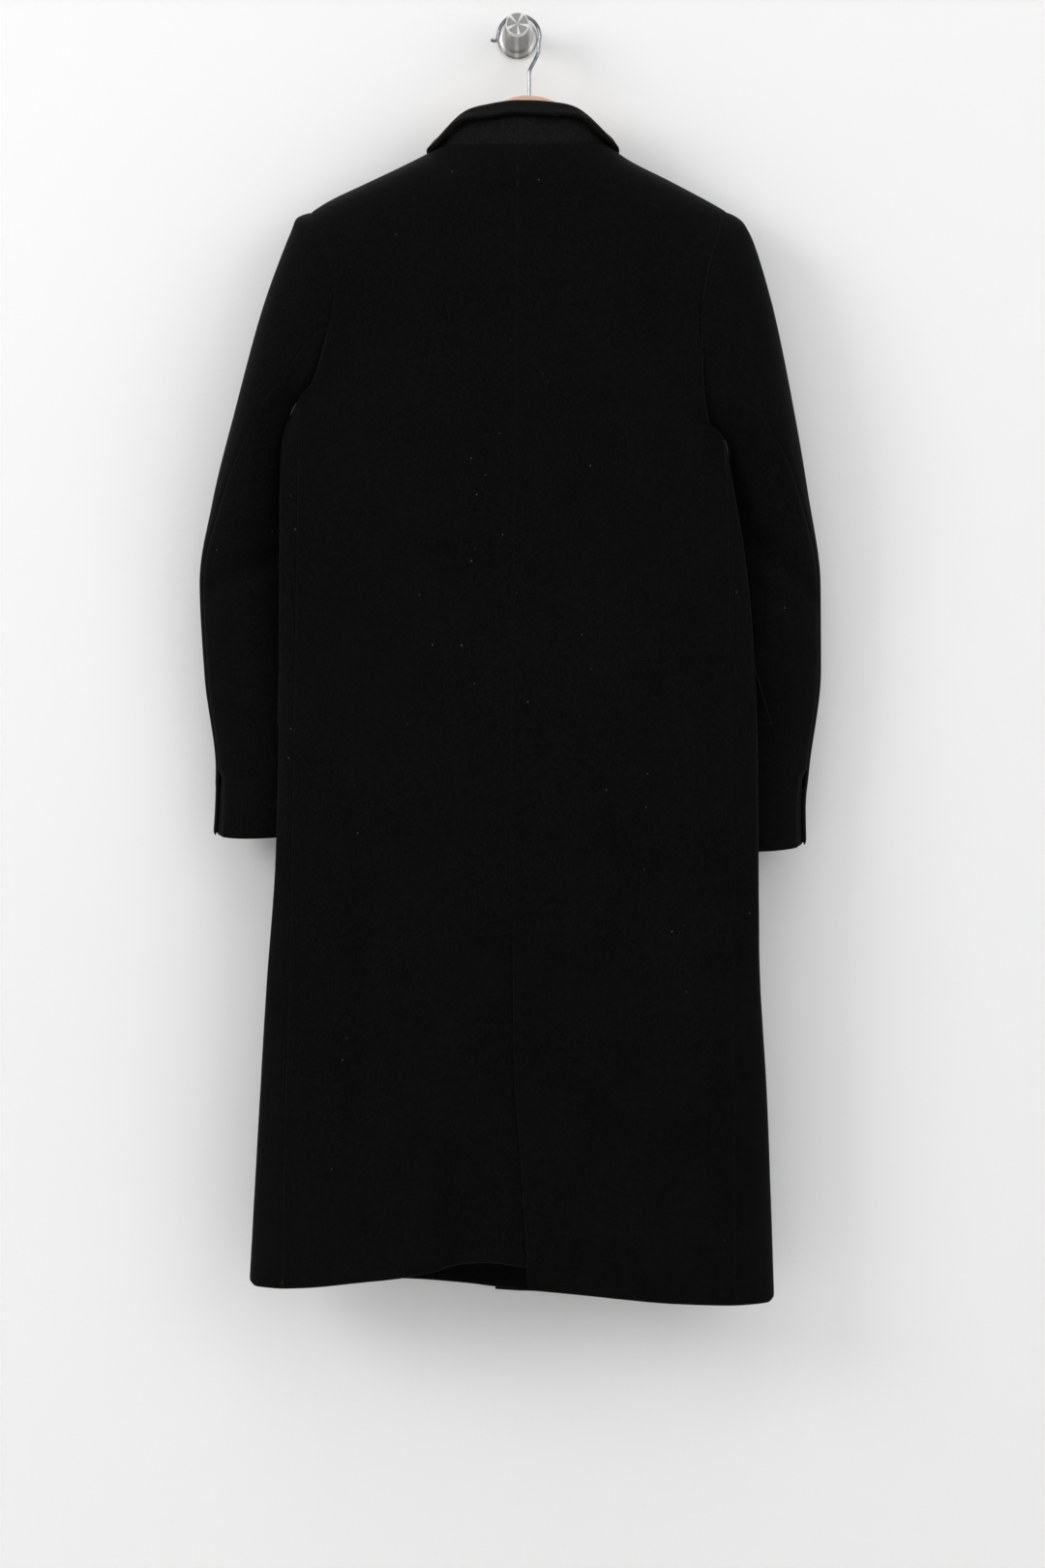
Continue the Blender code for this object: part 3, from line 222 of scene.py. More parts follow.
# Sleeves: one row for each ring from the armhole (0) to the cuff (16)
SLEEVE_RINGS = (0, 1, 2, 3, 4, 5, 6, 7, 8, 8.8, 9.4, 10, 10.6, 11.2, 12, 13, 14, 14.3, 14.6, 15.3, 16)
SLEEVE_LIMB = {
    # ring, outer x, outer z, inner x, inner z
    "left": (
        (0, 0.2016, -0.182, 0.2125, -0.3655),
        (1, 0.2155, -0.1875, 0.2165, -0.3705),
        (2, 0.2215, -0.202, 0.219, -0.374),
        (4, 0.2475, -0.274, 0.223, -0.3825),
        (6, 0.2742, -0.3719, 0.224, -0.403),
        (8, 0.298, -0.466, 0.218, -0.46),
        (10, 0.3111, -0.545, 0.206, -0.54),
        (12, 0.3064, -0.637, 0.201, -0.637),
        (14, 0.2955, -0.725, 0.1995, -0.725),
        (15, 0.2962, -0.76, 0.199, -0.756),
        (16, 0.298, -0.789, 0.199, -0.785),
    ),
    "right": (
        (0, 0.2045, -0.1815, 0.2005, -0.4034),
        (1, 0.218, -0.189, 0.204, -0.408),
        (2, 0.2265, -0.202, 0.2066, -0.411),
        (4, 0.2475, -0.269, 0.206, -0.418),
        (6, 0.268, -0.366, 0.2057, -0.432),
        (8, 0.284, -0.457, 0.2066, -0.472),
        (10, 0.2968, -0.545, 0.204, -0.545),
        (12, 0.2975, -0.63, 0.1985, -0.63),
        (14, 0.286, -0.725, 0.189, -0.725),
        (15, 0.2826, -0.765, 0.186, -0.765),
        (16, 0.2832, -0.7985, 0.186, -0.801),
    ),
}
SLEEVE_BODY = (
    # ring, middle y, half depth, bow of the ring towards the chest, hollow of the inner back quarter
    (0, -0.0595, 0.045, 0.03, 0.0),
    (1, -0.059, 0.0455, 0.026, 0.0),
    (2, -0.0585, 0.0455, 0.022, 0.0),
    (4, -0.057, 0.044, 0.01, 0.0),
    (6, -0.055, 0.042, 0.0, 0.004),
    (8, -0.052, 0.0385, 0.0, 0.008),
    (10, -0.047, 0.0335, 0.0, 0.005),
    (12, -0.044, 0.031, 0.0, 0.0),
    (16, -0.044, 0.031, 0.0, 0.0),
)
SLEEVE_SEAMS = (
    # ring, turn of the elbow seam and of the inner seam round the ring, in degrees from its outer point
    (0, 108.0, 252.0),
    (4, 108.0, 248.0),
    (6.5, 72.0, 226.0),
    (7.5, 52.0, 216.0),
    (8.5, 38.0, 208.0),
    (10, 24.0, 200.0),
    (16, 18.0, 196.0),
)
SLEEVE_HEAD_RINGS = 5
TOP_SLEEVE_STEPS = 12
UNDER_SLEEVE_STEPS = 8
CUFF_STEP_RINGS = (14.0, 14.3)
CUFF_VENT_RING = 14.45
CUFF_VENT_TURN = 14.0
CUFF_VENT_STEP = 0.0034
CUFF_VENT_FLAT = 1.3
CUFF_SAG = 0.007
ELBOW_FOLDS = {
    # inner end x and z, outer end x and z, depth, half width
    "left": ((-0.226, -0.519, -0.3, -0.548, 0.0075, 0.013), (-0.232, -0.59, -0.296, -0.575, -0.003, 0.016)),
    "right": ((0.236, -0.51, 0.286, -0.556, 0.0085, 0.013), (0.228, -0.585, 0.29, -0.59, -0.003, 0.016)),
}

# Collar: one row for each turn round the neckline
COLLAR_RISE = (
    # turn (the left side's below 0), lean off the cloth, stand, radius of the roll, dip of the fall, fall
    (-180.0, 28.0, 0.007, 0.004, -1.0, 0.05),
    (-146.0, 30.0, 0.007, 0.004, -2.0, 0.044),
    (-118.0, 42.0, 0.0055, 0.004, -5.0, 0.026),
    (-104.0, 56.0, 0.0042, 0.0037, -12.0, 0.016),
    (-90.0, 64.0, 0.0026, 0.0034, -26.0, 0.0098),
    (-70.0, 47.4, 0.0054, 0.0036, -20.0, 0.0092),
    (-50.0, 21.2, 0.0287, 0.0036, 0.0, 0.012),
    (-30.0, 5.4, 0.0404, 0.0036, 6.0, 0.0145),
    (-24.0, 4.2, 0.0413, 0.0036, 6.0, 0.0158),
    (-3.0, 2.2, 0.0447, 0.0036, 6.0, 0.014),
    (3.0, 2.2, 0.0447, 0.0036, 6.0, 0.014),
    (24.0, 5.2, 0.043, 0.0036, 6.0, 0.0158),
    (30.0, 6.4, 0.0423, 0.0036, 6.0, 0.0145),
    (50.0, 22.9, 0.0306, 0.0036, 0.0, 0.012),
    (70.0, 47.5, 0.0068, 0.0036, -20.0, 0.0092),
    (90.0, 64.0, 0.0024, 0.0034, -26.0, 0.0098),
    (104.0, 56.0, 0.0042, 0.0037, -12.0, 0.016),
    (118.0, 42.0, 0.0055, 0.004, -5.0, 0.026),
    (146.0, 30.0, 0.007, 0.004, -2.0, 0.044),
    (180.0, 28.0, 0.007, 0.004, -1.0, 0.05),
)
COLLAR_STAND_STEPS = 3
COLLAR_ROLL_STEPS = 5
COLLAR_FALL_STEPS = 3
COLLAR_FRONT_GAP = 0.004

# Pocket flaps
FLAP_TOP_Z = -0.632
FLAP_BOTTOM_Z = -0.684
FLAP_ROWS = 14
FLAP_COLUMNS = (4, 10)
FLAP_CLEARANCE = 0.001
FLAP_REAR = {"left": (0.2305, 0.2322), "right": (0.229, 0.2453)}
FLAP_FLARE_COLUMNS = 2
FLAP_FLARE_POWER = 1.5

# Buttons, buttonholes, and how many points of a front's row are searched for the face under one
BUTTON_COUNT = 5
BUTTONHOLE_LENGTH = 0.028
BUTTONHOLE_START = -0.002
BUTTONHOLE_HALF_WIDTH = 0.0012
BUTTONHOLE_POINTS = 60
BUTTONHOLE_LIFT = 0.0002
BUTTONHOLE_RIPPLE = 0.00012
BUTTONHOLE_THREAD = 0.0013
LAP_POINTS = 60

# Wall knob: where its face and its head begin, and the radius of the face's rim, where a bright ring is
# painted as a highlight
KNOB_FACE_Y = -0.0585
KNOB_HEAD_Y = -0.047
KNOB_RIM_RADIUS = 0.01

# Studio and camera
LIGHTS = (
    # name, place, size, power, colour
    ("key", (-2.8, -2.2, 0.6), 1.5, 47.0, (1.0, 0.995, 0.985)),
    ("fill", (2.4, -2.6, 0.3), 2.2, 26.0, (1.0, 1.0, 0.99)),
    ("top", (0.1, -1.7, 1.6), 1.6, 9.0, (1.0, 1.0, 1.0)),
    ("behind", (-0.3, 2.2, 2.4), 1.8, 60.0, (1.0, 1.0, 1.0)),
)
LIGHT_TARGET = (0.0, -0.05, -0.7)
WORLD_COLOUR = (0.985, 0.995, 1.0, 1.0)
WORLD_STRENGTH = 0.71
CAMERA_PLACE = (0.005, -2.9, -0.741)
SENSOR_WIDTH = 36.0
FOCAL_PIXELS = 3011
PHOTO_HEIGHT = 1620


# A colour, or a stretch along each axis
Triple = tuple[float, float, float]


class Side(Enum):
    """The wearer's left or right, which is also the back view's."""

    LEFT = "left"
    RIGHT = "right"

    @property
    def sign(self) -> int:
        """-1 on the left and 1 on the right."""
        return -1 if self is Side.LEFT else 1


class Face(Enum):
    """Which way a stretch of cloth looks: away from the wall or towards it."""

    BACK = -1
    FRONT = 1


class Part(Enum):
    """What a crease runs over."""

    BODY = "body"
    SLEEVES = "sleeves"
    ALL = "all"


def blend(start, end, amount):
    """Value between start and end, for numbers and arrays."""
    return start + (end - start) * amount


def ease(amount):
    """Smooth step from 0 to 1, for numbers and arrays."""
    amount = np.clip(amount, 0.0, 1.0)
    return amount * amount * (3 - 2 * amount)


def unit(vectors: np.ndarray) -> np.ndarray:
    """Vectors of length 1 in the same directions."""
    return vectors / np.linalg.norm(vectors, axis=-1, keepdims=True)


def finer(values) -> np.ndarray:
    """The values with even steps of the fine cloth put in between."""
    places = np.linspace(0, len(values) - 1, (len(values) - 1) * FINER + 1)
    return np.interp(places, np.arange(len(values)), values)


def smoothed(grid: np.ndarray, steps: int) -> np.ndarray:
    """A grid made finer along its first axis by smooth curves through its rows.

    Args:
        grid: rows of points.
        steps: how many steps each one is split into.

    Returns:
        The finer grid, which still passes through every row.
    """
    gaps = np.linalg.norm(np.diff(grid, axis=0), axis=-1).reshape(len(grid) - 1, -1).mean(axis=1)
    gaps = np.maximum(gaps, 1e-6)
    slopes = np.gradient(grid, np.concatenate([[0.0], np.cumsum(gaps)]), axis=0)
    steep = gaps.reshape(-1, *[1] * (grid.ndim - 1))
    start, end, leave, arrive = grid[:-1], grid[1:], steep * slopes[:-1], steep * slopes[1:]
    made = []
    for step in range(steps):
        t = step / steps
        turned = t * t * (3 - 2 * t)
        along = t * (1 - t) ** 2 * leave
        made.append(start + turned * (end - start) + along - t * t * (1 - t) * arrive)
    rows = np.stack(made, axis=1).reshape(-1, *grid.shape[1:])
    return np.concatenate([rows, grid[-1:]])


class Profile:
    """Smooth curve through a table's rows, without overshoot: the first column in, the others out."""

    def __init__(self, rows) -> None:
        """Works out the slopes at the table's rows."""
        ordered = np.array(sorted(rows), float)
        self.places = ordered[:, 0]
        self.values = ordered[:, 1:]
        slopes = np.diff(self.values, axis=0) / np.diff(self.places)[:, None]
        self.slopes = np.vstack([slopes[:1], np.zeros_like(slopes[1:]), slopes[-1:]])
        before, after = slopes[:-1], slopes[1:]
        rising = before * after > 0
        total = np.where(rising, before + after, 1.0)
        self.slopes[1:-1] = np.where(rising, 2 * before * after / total, 0.0)

    def __call__(self, place):
        """Value at a place.

        Args:
            place: a number, or an array of them.

        Returns:
            A number, or an array with one more axis where the table has several columns out.
        """
        places = np.clip(np.atleast_1d(np.asarray(place, float)), self.places[0], self.places[-1])
        row = np.clip(np.searchsorted(self.places, places, side="right") - 1, 0, len(self.places) - 2)
        length = (self.places[row + 1] - self.places[row])[:, None]
        t = (places - self.places[row])[:, None] / length
        start = (1 + 2 * t) * (1 - t) ** 2 * self.values[row] + t * (1 - t) ** 2 * length * self.slopes[row]
        end = t * t * (3 - 2 * t) * self.values[row + 1] - t * t * (1 - t) * length * self.slopes[row + 1]
        found = start + end
        if found.shape[1] == 1:
            found = found[:, 0]
        return found[0] if np.ndim(place) == 0 else found


CENTRE_BACK_AT, CENTRE_FRONT_AT, SIDE_DEPTH_AT, SLEEVE_BODY_AT, SLEEVE_SEAMS_AT, COLLAR_RISE_AT = (
    Profile(rows)
    for rows in (CENTRE_BACK, CENTRE_FRONT, SIDE_DEPTH, SLEEVE_BODY, SLEEVE_SEAMS, COLLAR_RISE)
)
EDGE_AT, ARMHOLE_AT, SHOULDER_AT, HEM_BACK_AT, HEM_FRONT_AT, LIMB_AT = (
    {name: Profile(rows) for name, rows in tables.items()}
    for tables in (BODY_EDGE, ARMHOLE_X, SHOULDER_LINE, HEM_BACK, HEM_FRONT, SLEEVE_LIMB)
)


def armhole_height(turn):
    """Height up the armhole, 0 to 1, at a turn in degrees from the shoulder tip."""
    return (1 + np.cos(np.radians(turn))) / 2


def armhole_points(side: Side, turns) -> np.ndarray:
    """Points on the armhole seam.

    Args:
        side: which armhole.
        turns: degrees, 0 at the shoulder tip, 90 at the back, 180 in the armpit, 270 in front.

    Returns:
        One point for each turn.
    """
    turns = np.asarray(turns, float)
    height = armhole_height(turns)
    x = side.sign * ARMHOLE_AT[side.value](height)
    y = blend(ARMPIT_Y, RIDGE_Y, height) - ARMHOLE_HALF_DEPTH * np.sin(np.radians(turns))
    z = blend(ARMPIT[side.value][1], SHOULDER_TIP[side.value][1], height)
    return np.stack([x, y, z], axis=-1)


def neck_points(side: Side, turns) -> np.ndarray:
    """Points on the neckline, from the centre back (0) past the neck's side (90) to the front (180)."""
    turns = np.asarray(turns, float)
    angle = np.radians(turns)
    neck_x, neck_z = SIDE_NECK[side.value]
    side_x = side.sign * neck_x
    behind = np.stack(
        [
            blend(CENTRE_BACK[0][1], side_x, np.sin(angle)),
            blend(RIDGE_Y, NECK_BACK_Y, np.cos(angle)),
            blend(CENTRE_BACK[0][0], neck_z, np.sin(angle) ** 2),
        ],
        axis=-1,
    )
    powers = NECK_FRONT_POWERS
    drop = np.abs(np.cos(angle)) ** powers["z"]
    before = np.stack(
        [
            blend(side_x, CENTRE_FRONT_X, np.maximum(turns / 90 - 1, 0.0) ** powers["x"]),
            blend(RIDGE_Y, NECK_FRONT_Y, drop ** powers["y"]),
            blend(neck_z, NECK_FRONT_Z, drop),
        ],
        axis=-1,
    )
    return np.where((turns <= 90)[:, None], behind, before)


def shoulder_points(side: Side, shares) -> np.ndarray:
    """Points on the shoulder seam: share 0 at the neck, 1 at the tip."""
    distance = blend(SIDE_NECK[side.value][0], SHOULDER_TIP[side.value][0], np.asarray(shares, float))
    height = SHOULDER_AT[side.value](distance)
    return np.stack([side.sign * distance, np.full_like(distance, RIDGE_Y), height], axis=-1)


def drape(x, z):
    """How far the back's soft upright folds move its face towards the wall."""
    moved = np.zeros_like(x)
    for centre, half_width, depth, start_z in DRAPES:
        grown = ease((start_z - z) / (start_z - HEM_BACK["right"][-1][1]))
        moved = moved + depth * grown * np.exp(-(((x - centre) / half_width) ** 2))
    return moved


@dataclass
class BodyLevel:
    """The coat's body at one level below the armpits: share 0 at the armpit, 1 at the hem."""

    side: Side
    share: float

    def __post_init__(self) -> None:
        """Reads this level's row of each table."""
        name = self.side.value
        self.back_z = blend(CENTRE_ARM_Z, CENTRE_BACK[-1][0], self.share)
        self.back_x, self.back_y = CENTRE_BACK_AT(self.back_z)
        self.front_y = CENTRE_FRONT_AT(blend(CENTRE_ARM_Z, HEM_FRONT_AT[name](CENTRE_FRONT_X), self.share))
        side_z = blend(ARMPIT[name][1], BODY_EDGE[name][-1][0], self.share)
        self.edge_x, self.seam_x = self.side.sign * EDGE_AT[name](side_z)
        self.edge_y, self.fold_depth, self.step_from, self.step_to = SIDE_DEPTH_AT(ARMPIT[name][1] - side_z)

    def back_face(self, x: np.ndarray) -> np.ndarray:
        """y of the back's outer face at x."""
        reach = np.clip((x - self.back_x) / (self.edge_x - self.back_x), 0.0, 1.0) ** BACK_SQUARENESS
        return blend(self.edge_y, self.back_y, np.sqrt(1 - reach)) + drape(x, self.back_z) * (1 - reach)

    def front_face(self, x: np.ndarray) -> np.ndarray:
        """y of the front's outer face at x."""
        reach = np.minimum(np.abs((x - CENTRE_FRONT_X) / (self.edge_x - CENTRE_FRONT_X)), 1.0)
        side_y = self.edge_y + self.fold_depth * np.sqrt(1 - reach**FRONT_SQUARENESS)
        stepped = (self.step_from - np.abs(x)) / (self.step_from - self.step_to)
        return blend(side_y, self.front_y, ease(stepped))

    def heights(self, x: np.ndarray, hem_z: np.ndarray) -> np.ndarray:
        """Heights of this level's row, which tilts to meet the armpit and the hem."""
        reach = np.minimum(np.abs(x / self.edge_x), 1.0)
        return blend(blend(CENTRE_ARM_Z, ARMPIT[self.side.value][1], reach**2), hem_z, self.share)

    def back_row(self) -> np.ndarray:
        """The back panel's row in plan, with the vent's lap at the centre."""
        columns = finer(BACK_COLUMNS)
        x = blend(self.back_x, self.seam_x, columns)
        if self.side is Side.RIGHT:
            return np.stack([x, self.back_face(x)], axis=-1)
        opened = ease((VENT_TOP_Z - self.back_z) / VENT_SLANT)
        stepped = ease((VENT_STEP_START_Z - self.back_z) / (VENT_STEP_START_Z - VENT_TOP_Z))
        index = np.arange(len(columns)) / FINER
        x = x + VENT_UNDERLAP * opened * np.clip(1 - index, 0.0, 1.0)
        beneath = BodyLevel(Side.RIGHT, self.share)
        y = np.where(x > self.back_x, beneath.back_face(x), self.back_face(x))
        return np.stack([x, y + LAP_STEP * stepped * ease(2 - index)], axis=-1)

    def front_row(self) -> np.ndarray:
        """The front panel's row in plan, from the side seam round the edge to its lapped front edge."""
        quarter = np.linspace(0, math.pi / 2, ROW_SAMPLES)
        out = blend(self.seam_x, self.edge_x, np.sin(quarter))
        back = blend(CENTRE_FRONT_X, self.edge_x, np.cos(quarter))[1:]
        y = np.concatenate([self.back_face(out), self.front_face(back)])
        path = np.stack([np.concatenate([out, back]), y], axis=-1)
        run = np.concatenate([[0.0], np.cumsum(np.linalg.norm(np.diff(path, axis=0), axis=1))])
        tail = path[len(out) - 1 :, 0]
        order = np.argsort(tail)
        lap_x = CENTRE_FRONT_X + self.side.sign * LAP_REACH
        distances = finer(FRONT_COLUMNS) * np.interp(lap_x, tail[order], run[len(out) - 1 :][order])
        around = np.stack([np.interp(distances, run, path[:, axis]) for axis in range(2)], axis=-1)
        lap = finer((lap_x, CENTRE_FRONT_X, CENTRE_FRONT_X - self.side.sign * FRONT_LAP))[1:]
        return np.concatenate([around, np.stack([lap, np.full_like(lap, self.front_y)], axis=-1)])


# Creases: the shares of their run over which they rise and fade, how uneven their depth is, how
# squarely the cloth faces where they show in full, the waves of their depth along the run and how
# these start by place, and the share of the half width at the start and what is added by the end
CREASE_HEAD = 0.25
CREASE_TAIL = 0.45
CREASE_UNEVENNESS = 0.25
CREASE_FACING = 0.6
CREASE_WAVES = 9.0
CREASE_PHASE = 40
CREASE_WIDTHS = (0.75, 0.5)


@dataclass(frozen=True)
class Crease:
    """One soft trough or ridge, placed in the upright plane.

    A negative depth is a ridge. bow is how far its middle swings sideways from the straight line.
    """

    start: tuple[float, float]
    end: tuple[float, float]
    depth: float
    half_width: float
    face: Face
    part: Part
    bow: float

    def pressed(self, points: np.ndarray, normals: np.ndarray) -> np.ndarray:
        """How deep the crease presses the cloth in at each point."""
        start, end = np.array(self.start), np.array(self.end)
        across = np.array([end[1] - start[1], start[0] - end[0]]) / np.linalg.norm(end - start)
        places = points[..., (0, 2)]
        run = end - start
        share = np.clip(((places - start) @ run) / (run @ run), 0.0, 1.0)
        line = start + share[..., None] * run + (4 * share * (1 - share) * self.bow)[..., None] * across
        away = np.linalg.norm(places - line, axis=-1)
        faded = ease(share / CREASE_HEAD) * ease((1 - share) / CREASE_TAIL)
        waves = np.sin(share * CREASE_WAVES + CREASE_PHASE * self.start[0])
        uneven = 1 + CREASE_UNEVENNESS * waves
        looks = ease(np.clip(normals[..., 1] * self.face.value, 0.0, 1.0) / CREASE_FACING)
        width = self.half_width * (CREASE_WIDTHS[0] + CREASE_WIDTHS[1] * share)
        return self.depth * faded * uneven * looks * np.exp(-((away / width) ** 2))


# Start x and z, end x and z, depth, half width, bow
CREASE_ROWS = {
    # seen in the photograph: pulls below the armholes
    (Face.BACK, Part.ALL): (
        (0.182, -0.392, 0.138, -0.455, 0.0016, 0.008, 0.004),
        (0.1835, -0.377, 0.156, -0.407, 0.0012, 0.0055, -0.002),
        (-0.183, -0.372, -0.14, -0.428, 0.0012, 0.0085, -0.004),
    ),
    # soft uprights, and hollows beside the centre seam
    (Face.BACK, Part.BODY): (
        (-0.142, -0.835, -0.149, -1.165, 0.0052, 0.015, 0.005),
        (-0.12, -0.9, -0.116, -1.11, -0.0024, 0.014, -0.004),
        (-0.064, -1.075, -0.065, -1.205, 0.0042, 0.01, 0.0),
        (0.006, -0.7, 0.008, -0.9, 0.0018, 0.007, 0.002),
        (0.021, -0.76, 0.023, -0.905, -0.0014, 0.009, 0.0),
        (0.112, -0.52, 0.119, -0.72, 0.0015, 0.023, 0.008),
        (-0.108, -0.5, -0.116, -0.7, 0.0013, 0.021, -0.007),
        (0.185, -0.905, 0.174, -1.16, 0.0022, 0.016, 0.006),
        (0.085, -0.96, 0.092, -1.205, 0.0018, 0.019, -0.006),
        (-0.03, -0.165, 0.042, -0.172, 0.0012, 0.007, 0.006),
        (-0.1, -0.205, -0.03, -0.236, 0.0009, 0.012, 0.005),
        (0.104, -0.206, 0.042, -0.238, 0.0009, 0.012, -0.005),
    ),
    # elbows, forearms and sleeve heads
    (Face.BACK, Part.SLEEVES): (
        (-0.22, -0.5, -0.295, -0.512, 0.0018, 0.007, 0.003),
        (-0.218, -0.56, -0.3, -0.566, 0.0022, 0.0065, -0.003),
        (-0.225, -0.612, -0.286, -0.634, 0.0014, 0.008, 0.004),
        (-0.256, -0.65, -0.25, -0.77, 0.0012, 0.012, 0.005),
        (0.214, -0.492, 0.278, -0.512, 0.0016, 0.007, 0.003),
        (0.22, -0.54, 0.288, -0.577, 0.0026, 0.007, 0.004),
        (0.216, -0.602, 0.278, -0.628, 0.0014, 0.008, -0.003),
        (0.238, -0.65, 0.234, -0.78, 0.0012, 0.012, -0.005),
        (-0.208, -0.248, -0.233, -0.34, 0.0012, 0.012, 0.004),
        (0.211, -0.25, 0.234, -0.345, 0.0012, 0.012, -0.004),
    ),
    # hidden side, after the same habits
    (Face.FRONT, Part.ALL): (
        (0.18, -0.39, 0.13, -0.462, 0.0018, 0.007, 0.004),
        (-0.185, -0.37, -0.135, -0.44, 0.0018, 0.007, -0.004),
    ),
    (Face.FRONT, Part.BODY): (
        (-0.15, -0.74, -0.155, -1.08, 0.0026, 0.017, 0.006),
        (0.148, -0.76, 0.156, -1.11, 0.0024, 0.018, -0.006),
        (0.09, -0.88, 0.096, -1.2, 0.002, 0.016, 0.004),
        (-0.085, -0.92, -0.088, -1.2, 0.0018, 0.016, -0.005),
    ),
    (Face.FRONT, Part.SLEEVES): (
        (-0.225, -0.53, -0.295, -0.556, 0.003, 0.008, -0.003),
        (0.22, -0.525, 0.285, -0.552, 0.003, 0.008, 0.003),
        (-0.23, -0.59, -0.29, -0.602, 0.0018, 0.008, 0.003),
        (0.224, -0.588, 0.286, -0.6, 0.0018, 0.008, -0.003),
    ),
}
CREASES = tuple(
    Crease((row[0], row[1]), (row[2], row[3]), *row[4:6], face, part, row[6])
    for (face, part), rows in CREASE_ROWS.items()
    for row in rows
)


class Border(Enum):
    """A side of a panel's grid."""

    BOTTOM = "bottom"
    TOP = "top"
    FIRST = "first"
    LAST = "last"
    FIRST_ABOVE_VENT = "first above the vent"


# The outermost points of each side of a grid, and the ones next to them
GRID_SIDES = {
    Border.BOTTOM: ((0, slice(None)), (1, slice(None))),
    Border.TOP: ((-1, slice(None)), (-2, slice(None))),
    Border.FIRST: ((slice(None), 0), (slice(None), 1)),
    Border.LAST: ((slice(None), -1), (slice(None), -2)),
}


